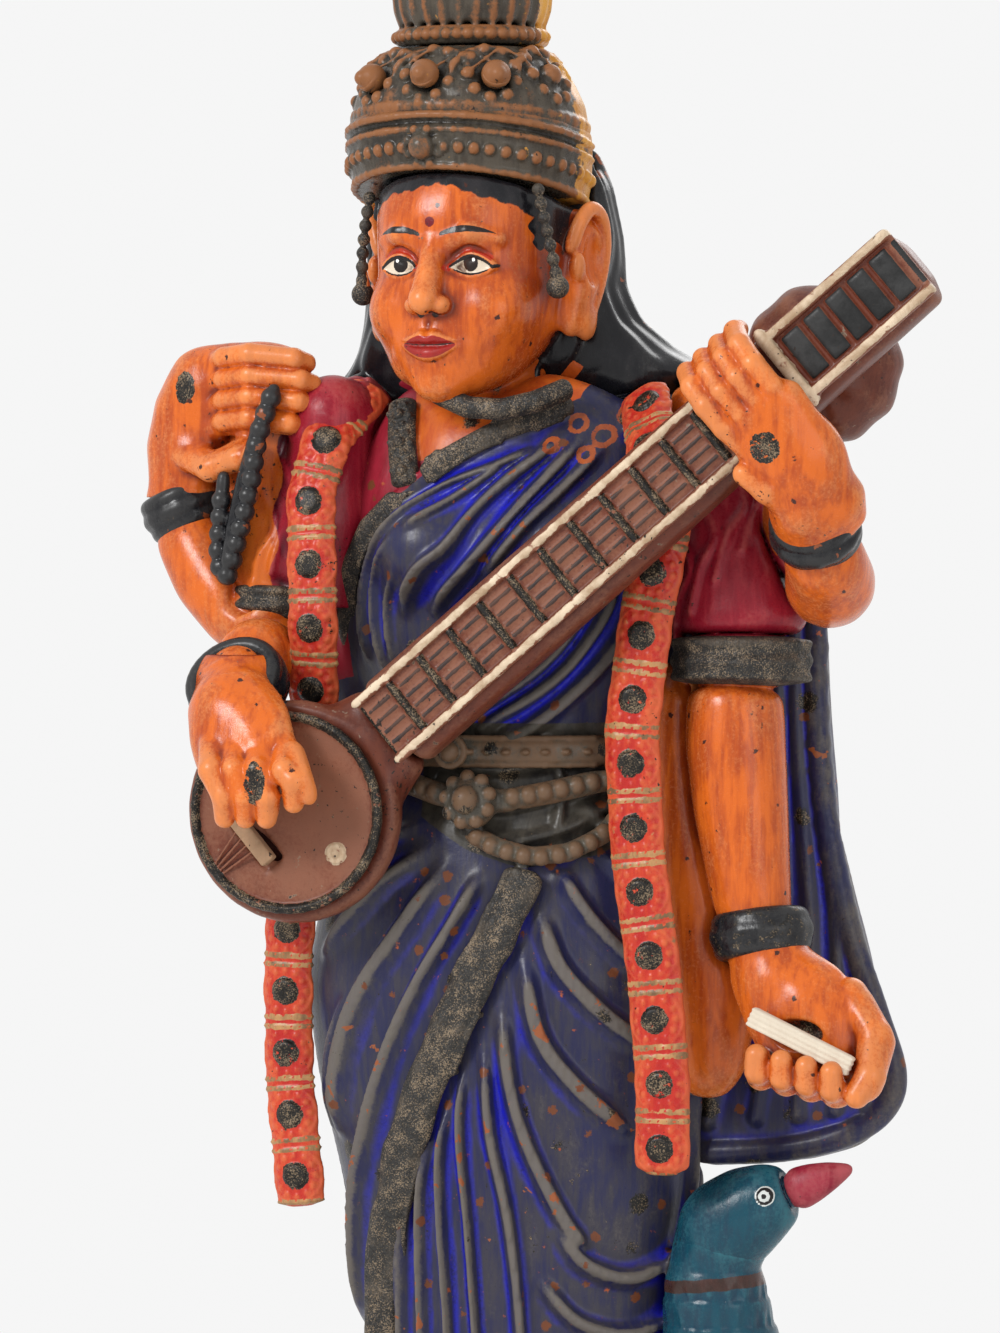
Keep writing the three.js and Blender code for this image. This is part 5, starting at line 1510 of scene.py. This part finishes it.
def bird():
    def head_masks(p):
        eye = np.hypot(p[:, 0] - 89, p[:, 2] - 187.5)
        front = p[:, 1] < -15
        ink = smooth(np.abs(eye - 2.3), 0.6, 0.3) * front + smooth(eye, 1.1, 0.7) * front
        return {"white": smooth(eye, 3.4, 2.8) * front, "ink": ink}

    def eyes(clay):
        for side in (-1, 1):
            at = onto(clay, [(89, -14, 187.5)], (0, -side, 0), 30)[0]
            clay.ball(at + (0, side * -1.6, 0), 3.0, 0.6)
    plain("bird_head", 0.6, 2.2, 3.0, head_masks, eyes)
    plain("bird_beak", 0.5, 1.4, 1.5, detail=lambda clay: clay.rod(
        [(98, -21.5, 189), (106, -21, 192.4), (115, -18.5, 196)], 0.5, 0.5, cut=True))

    def plumage(clay):
        def height(p):
            angle = np.arctan2(p[:, 0] - 77, -2 - p[:, 1])
            row = (162 - p[:, 2]) / 9.0
            cell = angle * 4.2 + 0.5 * (np.floor(row) % 2)
            edge = (row % 1.0) - 0.55 * np.abs(((cell % 1.0) - 0.5) * 2) ** 2
            feathered = smooth(p[:, 2], 164, 156), smooth(p[:, 2], 32, 44)
            return (0.7 * smooth(edge, 0.75, 0.15) - 0.2) * feathered[0] * feathered[1]
        ripple(clay, height)
        for side in (-1, 1):                                          # wings
            for k in range(4):
                line = curve([(77 + side * (26 - k), -6 + 3 * k, 118 - 9 * k),
                              (78 + side * 28, 6 + k, 92 - 8 * k), (80 + side * 24, 24, 66 - 7 * k)])
                toward = np.array([-side, 0.25, 0])
                clay.rod(onto(clay, line, toward, 30.0), 2.2, 1.8)

    def collar(p):
        return {"ring": smooth(np.abs(p[:, 2] - 158.5 - 0.1 * (p[:, 0] - 70)), 2.4, 1.7)}
    plain("bird_body", 0.8, 2.4, 7.0, collar, plumage)

    clay = Clay(["bird_tail"], 0.8, 2.4)           # its train, with eyes of gold along the quills
    clay.settle(3.0)
    line = Spine(clay.centre_line((-0.9, 0.1, -0.5), 8.0), (0, 0.6, 0.8), ends=8.0)
    relief = Relief(line.place, (0, line.length), (-30, 30), 0.4)
    for k in range(-3, 4):
        relief.line([(6, k * 3.0), (line.length * 0.5, k * 6.0), (line.length - 8, k * 6.4)], 0.9, 1.0)
        for j in range(3):
            u = line.length * (0.45 + 0.2 * j)
            relief.dot((u, k * 6.2), 3.0, 1.2, "gold", shape="soft")
            relief.dot((u, k * 6.2), 1.5, 0.8, "ring", shape="soft")
    clay.press(relief)
    make_piece("bird_tail", clay, lambda p: {
        name: relief.read(name, *line.place(p)[:2]) for name in ("gold", "ring")})


for build in (plinth, feet, rosettes, trims, veena, hands, bands, arms, head, hair, crown, bird, cape, body):
    build()

# ---- Camera, floor and light.

AIM = (AXIS + (-6.2, -2.0, 353.0)) * MM
AZIMUTH, RISE = math.radians(18.0), math.radians(1.5)          # round to her left, and above level
DISTANCE, LENS = 2.0, 167.5                                    # metres, millimetres
away = Vector((math.sin(AZIMUTH) * math.cos(RISE), -math.cos(AZIMUTH) * math.cos(RISE), math.sin(RISE)))
camera = bpy.data.objects.new("camera", bpy.data.cameras.new("camera"))
bpy.context.scene.collection.objects.link(camera)
camera.location = Vector(AIM) + away * DISTANCE
camera.rotation_euler = away.to_track_quat("Z", "Y").to_euler()
camera.data.lens = LENS
camera.data.clip_end = 60.0
bpy.context.scene.camera = camera


def floor(radius, colour, z):
    mesh = bpy.data.meshes.new("floor")
    turns = np.linspace(0, 2 * math.pi, 96, endpoint=False)
    rim = [(radius * math.cos(a), radius * math.sin(a), z) for a in turns]
    mesh.from_pydata(rim, [], [list(range(len(rim)))])
    n = Nodes("floor")
    n.link(n.mix(n.noise(3, 2), colour, tuple(0.97 * c for c in colour)), n.shader.inputs["Base Color"])
    n.shader.inputs["Roughness"].default_value = 0.8
    mesh.materials.append(n.material)
    disc = bpy.data.objects.new("floor", mesh)
    bpy.context.scene.collection.objects.link(disc)


floor(0.9, (0.86, 0.86, 0.85), -0.0005)


def area_light(name, where, aim, size, power):
    light = bpy.data.lights.new(name, "AREA")
    light.size, light.energy = size, power
    lamp = bpy.data.objects.new(name, light)
    bpy.context.scene.collection.objects.link(lamp)
    lamp.location = where
    lamp.rotation_euler = (Vector(where) - Vector(aim)).to_track_quat("Z", "Y").to_euler()


area_light("key", (-1.1, -1.9, 1.5), (0, 0, 0.33), 0.7, 40)
area_light("fill", (1.6, -1.6, 0.7), (0, 0, 0.33), 1.2, 8)
area_light("back", (0.4, 1.8, 1.6), (0, 0, 0.35), 1.2, 14)

world = bpy.data.worlds.new("studio")
world.use_nodes = True
world.node_tree.nodes["Background"].inputs["Color"].default_value = (1.0, 1.0, 1.0, 1.0)
world.node_tree.nodes["Background"].inputs["Strength"].default_value = 0.92
bpy.context.scene.world = world
bpy.context.scene.view_settings.view_transform = "Standard"
